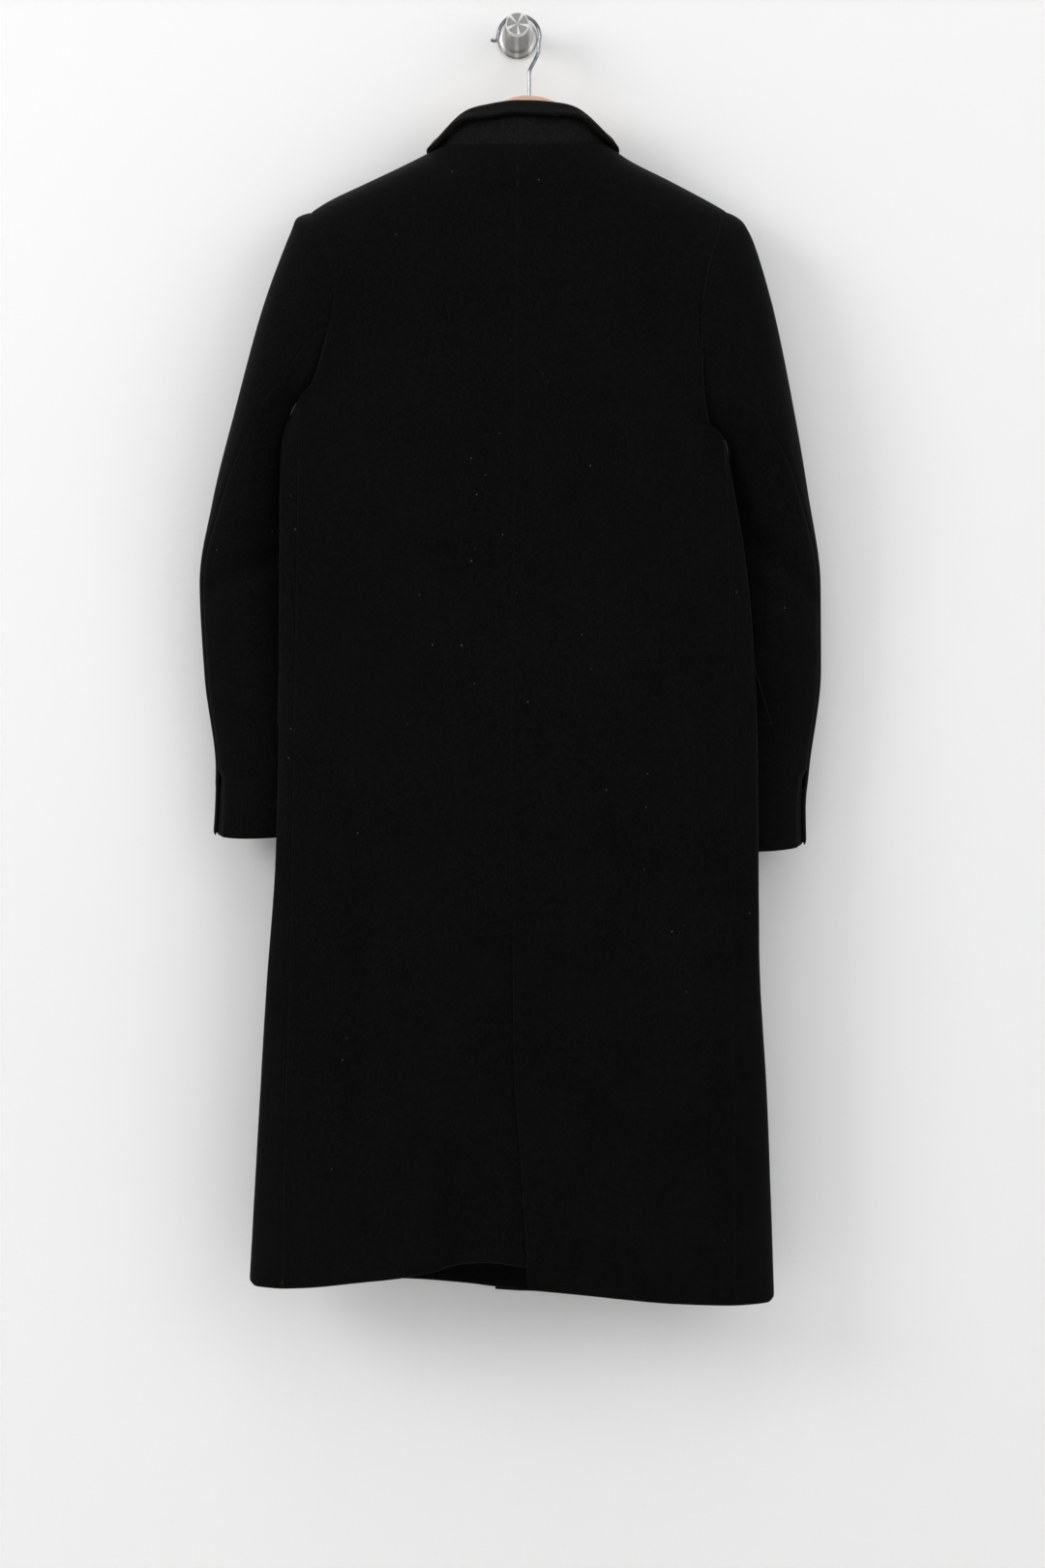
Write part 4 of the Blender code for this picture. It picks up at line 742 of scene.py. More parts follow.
@dataclass
class Panel:
    """One cut piece of cloth: a grid of points on its outer face, row by row.

    turned says that the grid's rows and columns face inwards, sewn lists the sides with a seam,
    and sewn_rows marks the rows above a vent.
    """

    name: str
    points: np.ndarray
    turned: bool
    sewn: tuple[Border, ...] = ()
    part: Part = Part.BODY
    sewn_rows: np.ndarray | None = None
    thickness: float = CLOTH
    normals: np.ndarray = field(init=False, default=None)

    def face_normals(self) -> np.ndarray:
        """Unit normals of the grid on its own."""
        p = self.points
        cross = np.cross(p[1:, 1:] - p[:-1, :-1], p[1:, :-1] - p[:-1, 1:])
        total = np.zeros_like(p)
        for rows in (slice(0, -1), slice(1, None)):
            for columns in (slice(0, -1), slice(1, None)):
                total[rows, columns] += cross
        return unit(-total if self.turned else total)

    def border_distances(self, sides: tuple[Border, ...] | None = None) -> np.ndarray:
        """How far each point lies from the nearest of the panel's sides, along the cloth.

        Args:
            sides: the sides that count, or None for all four.

        Returns:
            One distance for each point of the grid.
        """
        rows = np.linalg.norm(np.diff(self.points, axis=0), axis=-1)
        columns = np.linalg.norm(np.diff(self.points, axis=1), axis=-1)
        up = np.concatenate([np.zeros_like(rows[:1]), np.cumsum(rows, axis=0)])
        on = np.concatenate([np.zeros_like(columns[:, :1]), np.cumsum(columns, axis=1)], axis=1)
        found = {
            Border.BOTTOM: up,
            Border.TOP: up[-1:] - up,
            Border.FIRST: on,
            Border.LAST: on[:, -1:] - on,
        }
        if self.sewn_rows is not None:
            found[Border.FIRST_ABOVE_VENT] = np.where(self.sewn_rows[:, None], on, 1.0)
        if sides is None:
            sides = (Border.BOTTOM, Border.TOP, Border.FIRST, Border.LAST)
        return np.min([found[side] for side in sides], axis=0) if sides else np.full(up.shape, 1.0)

    def press(self, creases: tuple[Crease, ...]) -> None:
        """Moves the outer face by the creases that run over this part, and raises it beside its seams."""
        moved = np.zeros(self.points.shape[:2])
        for crease in creases:
            if crease.part in (self.part, Part.ALL):
                moved -= crease.pressed(self.points, self.normals)
        beside = self.border_distances(self.sewn) - SEAM_RIDGE_PLACE
        moved += SEAM_RIDGE * np.exp(-((beside / SEAM_RIDGE_WIDTH) ** 2))
        self.points = self.points + moved[..., None] * self.normals

    def drawn_in(self, grid: np.ndarray) -> np.ndarray:
        """The grid with its sewn sides drawn in by half of what shows between two pieces."""
        moved = grid.copy()
        half = SHOWN_GAP / 2
        for side, (edge, near) in GRID_SIDES.items():
            if side in self.sewn:
                moved[edge] += half * unit(grid[near] - grid[edge])
        if Border.FIRST_ABOVE_VENT in self.sewn:
            rows = self.sewn_rows
            moved[rows, 0] += half * unit(grid[rows, 1] - grid[rows, 0])
        return moved

    def rounded(self, grid: np.ndarray, facing: np.ndarray) -> np.ndarray:
        """The grid with its border moved inwards and down, so that the rim turns round.

        Args:
            grid: one face's points.
            facing: unit normals that point out of that face.

        Returns:
            The moved points.
        """
        moved = grid.copy()
        for side, (edge, near) in GRID_SIDES.items():
            step = grid[near] - grid[edge]
            length = np.linalg.norm(step, axis=-1, keepdims=True)
            seam = np.full(length.shape, float(side in self.sewn))
            if side is Border.FIRST and Border.FIRST_ABOVE_VENT in self.sewn:
                seam = self.sewn_rows[:, None].astype(float)
            turn = np.minimum(blend(EDGE_ROUND, SEAM_ROUND, seam), LONGEST_TURN * length)
            if side in (Border.FIRST, Border.LAST):
                turn[[0, -1]] *= 1 - seam[[0, -1]]
            moved[edge] += turn * step / np.maximum(length, 1e-9) - TURNED_DOWN * turn * facing[edge]
        return moved

    def build(self, finish: bpy.types.Material, inner: np.ndarray | None = None) -> bpy.types.Object:
        """Makes the wall of cloth behind the outer face, with a rounded rim, in place of its CAD node.

        Args:
            finish: its material.
            inner: points of the inner face, or None for one wall thickness behind the outer face.

        Returns:
            The finished object.
        """
        facing = self.normals
        outer = self.drawn_in(self.points)
        if inner is None:
            inner = self.points - self.thickness * facing
        inner = self.drawn_in(inner)
        middle = (outer + inner) / 2
        layers = (self.rounded(outer, facing), self.rounded(inner, -facing))
        rim = rim_spots(self)
        places = np.concatenate([*(layer.reshape(-1, 3) for layer in layers), middle[rim]])
        index = np.arange(middle[..., 0].size).reshape(middle.shape[:2])
        square = np.stack([index[:-1, :-1], index[:-1, 1:], index[1:, 1:], index[1:, :-1]], axis=-1)
        square = square.reshape(-1, 4)
        here = index[rim]
        after = np.roll(here, -1)
        mid = 2 * index.size + np.arange(len(here))
        mid_after = np.roll(mid, -1)
        outside = np.stack([here, after, mid_after, mid], axis=-1)
        inside = np.stack([mid, mid_after, after + index.size, here + index.size], axis=-1)
        faces = np.concatenate([square[:, ::-1], square + index.size, outside, inside])
        mesh = bpy.data.meshes.new(f"{self.name}_cloth")
        mesh.from_pydata(places.tolist(), [], faces.tolist())
        distance = self.border_distances().reshape(-1)
        near = np.concatenate([distance, distance, np.zeros(len(here))]).astype(np.float32)
        mesh.attributes.new("edge_distance", "FLOAT", "POINT").data.foreach_set("value", near)
        work = bmesh.new()
        work.from_mesh(mesh)
        bmesh.ops.recalc_face_normals(work, faces=work.faces)
        work.to_mesh(mesh)
        work.free()
        mesh.shade_smooth()
        piece = placed(mesh.name, mesh)
        mesh.materials.append(finish)
        return declared(piece, (self.name,))

    def area(self) -> float:
        """Area of the grid."""
        p = self.points
        first = np.cross(p[:-1, 1:] - p[:-1, :-1], p[1:, :-1] - p[:-1, :-1])
        second = np.cross(p[:-1, 1:] - p[1:, 1:], p[1:, :-1] - p[1:, 1:])
        return float((np.linalg.norm(first, axis=-1) + np.linalg.norm(second, axis=-1)).sum() / 2)

    def reach(self) -> tuple[float, float]:
        """Greatest width and length of the grid, along the cloth."""
        across = np.linalg.norm(np.diff(self.points, axis=1), axis=-1).sum(axis=1)
        along = np.linalg.norm(np.diff(self.points, axis=0), axis=-1).sum(axis=0)
        return float(across.max()), float(along.max())


def placed(name: str, data: bpy.types.ID) -> bpy.types.Object:
    """A new object in the scene, made of this data."""
    made = bpy.data.objects.new(name, data)
    bpy.context.scene.collection.objects.link(made)
    return made


def declared(piece: bpy.types.Object, nodes: tuple[str, ...] = ()) -> bpy.types.Object:
    """Makes a piece ride on the part, hides the nodes that it stands for, and reports it."""
    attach(piece, "root")
    if nodes:
        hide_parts(*nodes)
    LOG.info("%s: %d faces", piece.name, len(piece.data.polygons))
    return piece


def rim_spots(panel: Panel) -> tuple[np.ndarray, np.ndarray]:
    """Rows and columns of a panel's border points, once round."""
    rows, columns = (size - 1 for size in panel.points.shape[:2])
    down, right = np.arange(rows), np.arange(columns)
    places = np.concatenate([np.zeros(columns, int), down, np.full(columns, rows), rows - down])
    return places, np.concatenate([right, np.full(rows, columns), columns - right, np.zeros(rows, int)])


def match_seams(panels: list[Panel]) -> None:
    """Gives panels one line and one normal where they meet, so that their walls share a mitre."""
    for panel in panels:
        panel.normals = panel.face_normals()
    rims = [rim_spots(panel) for panel in panels]
    lines = [(panel.points[rim], panel.normals[rim]) for panel, rim in zip(panels, rims)]
    for own, (panel, rim) in enumerate(zip(panels, rims)):
        points, normals = lines[own][0].copy(), lines[own][1].copy()
        met = np.ones((len(points), 1))
        for other, (starts, facing) in enumerate(lines):
            if other == own:
                continue
            steps = np.roll(starts, -1, axis=0) - starts
            ways = lines[own][0][:, None] - starts
            along = np.clip((ways * steps).sum(-1) / np.maximum((steps**2).sum(-1), 1e-12), 0.0, 1.0)
            away = np.linalg.norm(ways - along[..., None] * steps, axis=-1)
            nearest = away.argmin(axis=1)
            spot = np.arange(len(points))
            share = along[spot, nearest][:, None]
            close = away[spot, nearest][:, None] < SEAM_REACH
            points += close * (starts[nearest] + share * steps[nearest])
            normals += close * blend(facing[nearest], np.roll(facing, -1, axis=0)[nearest], share)
            met += close
        panel.points[rim] = points / met
        panel.normals[rim] = unit(normals)


@dataclass
class BodyPattern:
    """Cuts the coat's backs and fronts."""

    side: Side

    def rows_below(self, face: Face) -> np.ndarray:
        """Panel rows from the hem up to the armpit row."""
        hem_at = (HEM_BACK_AT if face is Face.BACK else HEM_FRONT_AT)[self.side.value]
        rows = []
        hem = None
        for share in finer(LOWER_SHARES)[::-1]:
            level = BodyLevel(self.side, share)
            row = level.back_row() if face is Face.BACK else level.front_row()
            if hem is None:
                hem = hem_at(row[:, 0])
                inwards = np.abs(row[:, 0]).max() - np.abs(row[:, 0])
                rise = HEM_CORNER_RISE if face is Face.FRONT else 0.0
                hem = hem + rise * np.exp(-((inwards / HEM_CORNER_REACH) ** 2))
            rows.append(np.column_stack([row, level.heights(row[:, 0], hem)]))
        return np.array(rows)

    def rows_above(self, face: Face, armpit_row: np.ndarray, top_row: np.ndarray, chest) -> np.ndarray:
        """Panel rows above the armpit row, up to the neckline and the shoulder seam.

        Args:
            face: back or front.
            armpit_row: the row below them, which ends in the armpit.
            top_row: the neckline and the shoulder seam, which end at the shoulder's tip.
            chest: gives the depth at half height for a share of the width.

        Returns:
            The rows, from the bottom up.
        """
        tip = self.side.sign * SHOULDER_TIP[self.side.value][0]
        rows = []
        steps = ARMHOLE_STEPS * FINER
        for step in range(1, steps + 1):
            turn = 180.0 * (1 - step / steps)
            height = armhole_height(turn)
            edge = armhole_points(self.side, [turn if face is Face.BACK else 360 - turn])[0]
            z = blend(armpit_row[:, 2], top_row[:, 2], height)
            centre_x = CENTRE_BACK_AT(z)[:, 0] if face is Face.BACK else CENTRE_FRONT_X
            low_share = (armpit_row[:, 0] - centre_x) / (armpit_row[-1, 0] - centre_x)
            top_share = (top_row[:, 0] - centre_x) / (tip - centre_x)
            share = blend(low_share, top_share, ease(height))
            x = centre_x + share * (edge[0] - centre_x)
            cut = 1 - ((top_row[:, 1] - RIDGE_Y) / (chest(share) - RIDGE_Y)) ** 2
            rounding = np.sqrt(np.maximum(1 - height**4 * cut, 0.0))
            depth = blend(armpit_row[:, 1], chest(share), ease(height / CHEST_REACHED))
            y = blend(RIDGE_Y, depth, rounding)
            y = y + (edge[1] - y[-1]) * np.maximum(share, 0.0) ** ARMHOLE_PULL
            rows.append(np.column_stack([x, y, z]))
        return np.array(rows)

    def ease_join(self, points: np.ndarray, join: int, from_seam: np.ndarray) -> None:
        """Smooths the depth of a panel over its armpit row, away from the side seam.

        Args:
            points: the panel's grid, changed in place.
            join: the armpit row's number.
            from_seam: each column's distance from the side seam, in columns.
        """
        depth, height = points[..., 1], points[..., 2]
        near = np.exp(-(((np.arange(len(points)) - join) / JOIN_ROWS) ** 2))
        share = near[1:-1, None] * np.clip(from_seam / JOIN_COLUMNS, 0.0, 1.0)
        place = (height[1:-1] - height[:-2]) / (height[2:] - height[:-2])
        for _ in range(JOIN_ROUNDS):
            even = blend(depth[:-2], depth[2:], place)
            depth[1:-1] += JOIN_SHARE * share * (even - depth[1:-1])

    def back(self) -> Panel:
        """The back, with its side of the vent."""
        below = self.rows_below(Face.BACK)
        neck = neck_points(self.side, finer(BACK_NECK_TURNS))
        steps = len(below[0]) - len(neck)
        top = np.concatenate([neck, shoulder_points(self.side, (np.arange(steps) + 1) / steps)])
        above = self.rows_above(Face.BACK, below[-1], top, lambda share: blend(*CHEST_BACK_Y, share**2))
        points = np.concatenate([below, above])
        self.ease_join(points, len(below) - 1, np.arange(points.shape[1])[::-1])
        sewn = (Border.LAST, Border.TOP, Border.FIRST_ABOVE_VENT)
        above_vent = points[:, 0, 2] > VENT_TOP_Z
        name = f"back_{self.side.value}"
        return Panel(name, points, self.side is Side.LEFT, sewn, sewn_rows=above_vent)

    def front(self) -> Panel:
        """The front, which carries on round the coat's edge to the side seam."""
        below = self.rows_below(Face.FRONT)
        neck = neck_points(self.side, finer(FRONT_NECK_TURNS))
        lap = finer((0.0, FRONT_LAP))[1:, None] * np.array([-self.side.sign, 0.0, 0.0])
        neck = np.concatenate([neck, neck[-1] + lap])
        steps = len(below[0]) - len(neck)
        shoulder = shoulder_points(self.side, 1 - np.arange(steps) / steps)
        top = np.concatenate([shoulder, neck])
        low, high = below[-1][::-1], top[::-1]
        above = self.rows_above(Face.FRONT, low, high, lambda share: np.full_like(share, CHEST_FRONT_Y))
        points = np.concatenate([below, above[:, ::-1]])
        self.ease_join(points, len(below) - 1, np.arange(points.shape[1]))
        if self.side is Side.LEFT:
            reach = CENTRE_FRONT_X - LAP_REACH - LAP_BLEND
            points[..., 1] -= LAP_STEP * ease((points[..., 0] - reach) / LAP_BLEND)
        sewn = (Border.FIRST, Border.TOP)
        return Panel(f"front_{self.side.value}", points, self.side is Side.LEFT, sewn)


@dataclass
class SleevePattern:
    """Cuts a two-piece sleeve."""

    side: Side

    def fold_depth(self, x: np.ndarray, z: np.ndarray) -> np.ndarray:
        """How far the elbow's folds press the back of the sleeve in."""
        pressed = np.zeros_like(x)
        places = np.stack([x, z], axis=-1)
        for inner_x, inner_z, outer_x, outer_z, depth, half_width in ELBOW_FOLDS[self.side.value]:
            start = np.array((inner_x, inner_z))
            run = np.array((outer_x, outer_z)) - start
            share = np.clip(((places - start) @ run) / (run @ run), 0.0, 1.0)
            away = np.linalg.norm(places - start - share[:, None] * run, axis=-1)
            pressed += depth * np.exp(-((away / half_width) ** 2))
        return pressed

    def ring_points(self, ring: float, turns: np.ndarray) -> np.ndarray:
        """Points on a ring: turn 0 at its outer point, 90 at the back, 180 at its inner point."""
        if ring == 0:
            return armhole_points(self.side, turns % 360)
        outer_x, outer_z, inner_x, inner_z = LIMB_AT[self.side.value](ring)
        middle_y, half_depth, bow, hollow = SLEEVE_BODY_AT(ring)
        cosine, sine = np.cos(np.radians(turns)), np.sin(np.radians(turns))
        height = (1 + cosine) / 2
        x = self.side.sign * (blend(inner_x, outer_x, height) - bow * sine * sine)
        z = blend(inner_z, outer_z, height)
        head = ease(ring / SLEEVE_HEAD_RINGS)
        y = blend(blend(ARMPIT_Y, RIDGE_Y, height), middle_y, head) - half_depth * sine
        behind = np.maximum(sine, 0.0)
        y += self.fold_depth(x, z) * behind + hollow * np.maximum(-2 * behind * cosine, 0.0)
        before, last = SLEEVE_RINGS[-2:]
        z -= CUFF_SAG * ease((ring - before) / (last - before)) * behind
        return np.stack([x, y, z], axis=-1)

    def panels(self) -> list[Panel]:
        """Top sleeve and under sleeve, which meet at the elbow seam and at the inner seam."""
        rings = finer(SLEEVE_RINGS)
        top, under = [], []
        for ring in rings:
            elbow, inner = SLEEVE_SEAMS_AT(ring)
            turns = np.linspace(elbow, inner - 360, TOP_SLEEVE_STEPS * FINER + 1)
            top_row = self.ring_points(ring, turns)
            turns = np.linspace(elbow, inner, UNDER_SLEEVE_STEPS * FINER + 1)
            under_row = self.ring_points(ring, turns)
            under_row[-1] = top_row[-1]
            step_start, step_end = CUFF_STEP_RINGS
            stepped = ease((ring - step_start) / (step_end - step_start))
            if stepped > 0:
                opened = float(ring > CUFF_VENT_RING)
                middle = self.ring_points(ring, np.array([90.0, 270.0])).mean(axis=0)
                column = (inner - elbow) / UNDER_SLEEVE_STEPS
                start = elbow - CUFF_VENT_TURN * opened
                turns = np.linspace(start, elbow + column, FINER, endpoint=False)
                lap = self.ring_points(ring, turns)
                inset = ease(CUFF_VENT_FLAT * (elbow + column - turns) / column)
                inset = CUFF_VENT_STEP * stepped * inset
                under_row[:FINER] = lap + inset[:, None] * unit(middle - lap)
            top.append(top_row)
            under.append(under_row)
        sewn = (Border.BOTTOM, Border.FIRST_ABOVE_VENT, Border.LAST)
        rows = rings <= CUFF_VENT_RING
        name = f"sleeve_{self.side.value}"
        both = (("top", top, Side.RIGHT), ("under", under, Side.LEFT))
        return [
            Panel(f"{name}_{piece}", np.array(grid), self.side is turned, sewn, Part.SLEEVES, rows)
            for piece, grid, turned in both
        ]


@dataclass
class Coat:
    """The coat's body and sleeves: eight panels with their creases."""

    panels: dict[str, Panel] = field(default_factory=dict)

    def cut(self) -> None:
        """Cuts every panel and presses the creases in."""
        made = []
        for side in Side:
            pattern = BodyPattern(side)
            made += [pattern.back(), pattern.front(), *SleevePattern(side).panels()]
        match_seams(made)
        for panel in made:
            panel.press(CREASES)
        match_seams(made)
        self.panels = {panel.name: panel for panel in made}

    def build(self, wool: bpy.types.Material) -> None:
        for panel in self.panels.values():
            declare_sheet(panel, panel.build(wool))


def declare_sheet(panel: Panel, piece: bpy.types.Object) -> None:
    """Reports the size and area that a panel was cut to."""
    found = panel.reach()
    LOG.info("%s: width %.3f, length %.3f, area %.4f", panel.name, *found, panel.area())


@dataclass
class Collar:
    """The folded collar: an upper collar and an under collar in two halves."""

    coat: Coat

    def section(self, turn: float) -> list[np.ndarray]:
        """The folded collar's section as (along the cloth into the neck, off the cloth), stand to fall."""
        lean, stand, radius, dip, fall = COLLAR_RISE_AT(turn)
        start, end = math.radians(lean), math.radians(180 - dip)
        layer = COLLAR_CLOTH + SEAM_GAP / 2
        foot = np.array((SEAM_GAP + layer * math.sin(start), -layer * math.cos(start)))
        rise = np.array((math.cos(start), math.sin(start)))
        steps = range(COLLAR_STAND_STEPS + 1)
        points = [foot + rise * stand * step / COLLAR_STAND_STEPS for step in steps]
        centre = points[-1] + radius * np.array((-math.sin(start), math.cos(start)))
        for step in range(1, COLLAR_ROLL_STEPS + 1):
            angle = blend(start, end, step / COLLAR_ROLL_STEPS)
            points.append(centre + radius * np.array((math.sin(angle), -math.cos(angle))))
        over = points[-1]
        down = np.array((math.cos(end), math.sin(end)))
        steps = range(1, COLLAR_FALL_STEPS + 1)
        points += [over + down * fall * step / COLLAR_FALL_STEPS for step in steps]
        return points

    def stations(self) -> list[tuple[float, np.ndarray, np.ndarray]]:
        """Turn, point and cloth normal at each neckline place, from the left front round to the right."""
        found = []
        for side in Side:
            back, front = (self.coat.panels[f"{name}_{side.value}"] for name in ("back", "front"))
            first = len(front.points[0]) - 1 - len(FRONT_NECK_TURNS) * FINER
            half = []
            for panel, start, turns in ((back, 0, BACK_NECK_TURNS), (front, first, FRONT_NECK_TURNS)):
                spots = [(-1, start + step * FINER) for step in range(len(turns))]
                places = [
                    (side.sign * turn, panel.points[spot], panel.normals[spot])
                    for turn, spot in zip(turns, spots)
                ]
                half += places[1:] if half else places
            turn, point, normal = half[-1]
            half[-1] = (turn, point + COLLAR_FRONT_GAP * unit(half[-2][1] - point), normal)
            found += half[::-1] if side is Side.LEFT else half[1:]
        centre = len(found) // 2
        turn, point, _ = found[centre]
        found[centre] = (turn, point, unit(found[centre - 1][2] + found[centre + 1][2]))
        return found

    def build(self, wool: bpy.types.Material) -> None:
        stations = self.stations()
        places = np.array([point for _, point, _ in stations])
        tangents = unit(np.gradient(places, axis=0))
        sheet = []
        for (turn, place, normal), tangent in zip(stations, tangents):
            facing = unit(normal - tangent * np.dot(normal, tangent))
            inward = np.cross(facing, tangent)
            sheet.append([place + p * inward + q * facing for p, q in self.section(turn)])
        grid = smoothed(np.array(sheet), FINER)
        grid = smoothed(grid.swapaxes(0, 1), COLLAR_FINER).swapaxes(0, 1)
        whole = Panel("collar", grid, False)
        facing = whole.face_normals()
        centre = (len(stations) // 2) * FINER
        half_gap = SEAM_GAP / 2
        layers = (
            ("upper_collar", slice(0, None), 1, ()),
            ("under_collar_left", slice(0, centre + 1), -1, (Border.TOP,)),
            ("under_collar_right", slice(centre, None), -1, (Border.BOTTOM,)),
        )
        for name, rows, way, sewn in layers:
            near = grid[rows] + way * half_gap * facing[rows]
            far = near + way * COLLAR_CLOTH * facing[rows]
            panel = Panel(name, far, way < 0, sewn, thickness=COLLAR_CLOTH)
            panel.normals = way * facing[rows]
            declare_sheet(panel, panel.build(wool, near))


@dataclass
class PocketFlap:
    """A flap on a front, with its rear end standing out past the coat's edge."""

    coat: Coat
    side: Side

    def build(self, wool: bpy.types.Material) -> None:
        """Makes the flap from the front's own points, moved out."""
        front = self.coat.panels[f"front_{self.side.value}"]
        columns = slice(FLAP_COLUMNS[0] * FINER, FLAP_COLUMNS[1] * FINER + 1)
        points, normals = front.points[:, columns], front.normals[:, columns]
        near, far, facings = [], [], []
        for row, height in enumerate(np.linspace(FLAP_TOP_Z, FLAP_BOTTOM_Z, FLAP_ROWS)):
            below = int(np.searchsorted(points[:, 0, 2], height)) - 1
            low, high = points[below], points[below + 1]
            share = ((height - low[:, 2]) / (high[:, 2] - low[:, 2]))[:, None]
            facing = unit(blend(normals[below], normals[below + 1], share))
            place = blend(low, high, share)
            rear = self.side.sign * blend(*FLAP_REAR[self.side.value], row / (FLAP_ROWS - 1))
            steps = FLAP_FLARE_COLUMNS * FINER
            flare = (1 - np.arange(steps) / steps) ** FLAP_FLARE_POWER
            for layer, offset in ((near, FLAP_CLEARANCE), (far, FLAP_CLEARANCE + CLOTH)):
                made = place + offset * facing
                made[:steps, 0] += (rear - made[0, 0]) * flare
                layer.append(made)
            facings.append(facing)
        panel = Panel(f"pocket_flap_{self.side.value}", np.array(far), front.turned)
        panel.normals = np.array(facings)
        piece = panel.build(wool, np.array(near))
        declare_sheet(panel, piece)


def arithmetic(operation: str, swapped: bool = False) -> Callable[["Socket", "Socket | float"], "Socket"]:
    """Makes the method of Socket that stands for one kind of sum or comparison.

    Args:
        operation: the Math node's operation.
        swapped: whether the other value comes first.

    Returns:
        The method.
    """

    def method(self: "Socket", other: "Socket | float") -> "Socket":
        """The two values worked out by a node."""
        values = (other, self) if swapped else (self, other)
        return self.graph.maths(operation, *values)

    return method


class Socket:
    """One value in a shader graph. Sums with it make further nodes, and comparisons give 1 or 0."""

    def __init__(self, graph: "Graph", output: bpy.types.NodeSocket) -> None:
        """Keeps the graph and the socket that gives the value."""
        self.graph = graph
        self.output = output

    __add__ = __radd__ = arithmetic("ADD")
    __mul__ = __rmul__ = arithmetic("MULTIPLY")
    __rsub__ = arithmetic("SUBTRACT", swapped=True)
    __lt__ = arithmetic("LESS_THAN")
    __gt__ = arithmetic("GREATER_THAN")


class Graph:
    """A material's shader graph, made node by node round its Principled BSDF."""

    def __init__(self, name: str) -> None:
        """Starts a material of that name."""
        self.material = bpy.data.materials.new(name)
        self.material.use_nodes = True
        self.tree = self.material.node_tree
        self.shader = self.tree.nodes["Principled BSDF"]

    def node(
        self, kind: str, settings: dict | None = None, inputs: dict | None = None
    ) -> bpy.types.Node:
        """Makes one node.

        Args:
            kind: its type.
            settings: values of its properties.
            inputs: a value or a Socket for each input, by name or number.

        Returns:
            The node.
        """
        made = self.tree.nodes.new(kind)
        for name, value in (settings or {}).items():
            setattr(made, name, value)
        self.feed(made, inputs or {})
        return made

    def feed(self, node: bpy.types.Node, inputs: dict) -> None:
        """Sets or links a node's inputs."""
        for name, value in inputs.items():
            if isinstance(value, Socket):
                self.tree.links.new(value.output, node.inputs[name])
            else:
                node.inputs[name].default_value = value

    def value(self, kind: str, output: str | int, inputs: dict, settings: dict | None = None) -> Socket:
        """One output of a new node."""
        return Socket(self, self.node(kind, settings, inputs).outputs[output])

    def maths(self, operation: str, *values: "Socket | float") -> Socket:
        """One step of arithmetic."""
        return self.value("ShaderNodeMath", 0, dict(enumerate(values)), {"operation": operation})

    def place(self, scale: Triple = (1.0, 1.0, 1.0)) -> Socket:
        """The point's own place on the object, stretched."""
        here = self.value("ShaderNodeTexCoord", "Object", {})
        return self.value("ShaderNodeMapping", "Vector", {"Vector": here, "Scale": scale})

    def noise(self, place: Socket, scale: float, detail: float = 2.0, roughness: float = 0.5) -> Socket:
        """Cloudy noise from 0 to 1."""
        inputs = {"Vector": place, "Scale": scale, "Detail": detail, "Roughness": roughness}
        return self.value("ShaderNodeTexNoise", 0, inputs)

    def cells(self, place: Socket, scale: float, output: str) -> Socket:
        """Distance or chance number of cells."""
        return self.value("ShaderNodeTexVoronoi", output, {"Vector": place, "Scale": scale})

    def attribute(self, name: str) -> Socket:
        """A number kept on the mesh's points."""
        return self.value("ShaderNodeAttribute", "Fac", {}, {"attribute_name": name})

    def between(self, value: Socket, low: float, high: float) -> Socket:
        """The value brought from low..high to 0..1, smooth at both ends."""
        inputs = {"Value": value, "From Min": low, "From Max": high}
        return self.value("ShaderNodeMapRange", "Result", inputs, {"interpolation_type": "SMOOTHSTEP"})

    def mixed(self, share: Socket, first: Socket | Triple, second: Socket | Triple) -> Socket:
        """A colour between two others."""
        inputs = {0: share}
        for number, colour in ((6, first), (7, second)):
            inputs[number] = colour if isinstance(colour, Socket) else (*colour, 1.0)
        return self.value("ShaderNodeMix", 2, inputs, {"data_type": "RGBA"})

    def bump(self, height: Socket, distance: float, strength: float) -> Socket:
        """A normal from a height between 0 and 1 times distance."""
        inputs = {"Height": height, "Distance": distance, "Strength": strength}
        return self.value("ShaderNodeBump", "Normal", inputs)

    def finish(
        self,
        colour: Socket,
        roughness: Socket | float,
        normal: Socket | None = None,
        others: dict | None = None,
    ) -> bpy.types.Material:
        """Sets the Principled BSDF's inputs.

        Args:
            colour: its base colour.
            roughness: its roughness.
            normal: its normal, or None for the mesh's own.
            others: what else is set, by the input's name.

        Returns:
            The material.
        """
        values = {"Base Color": colour, "Roughness": roughness, **(others or {})}
        if normal is not None:
            values["Normal"] = normal
        self.feed(self.shader, values)
        return self.material


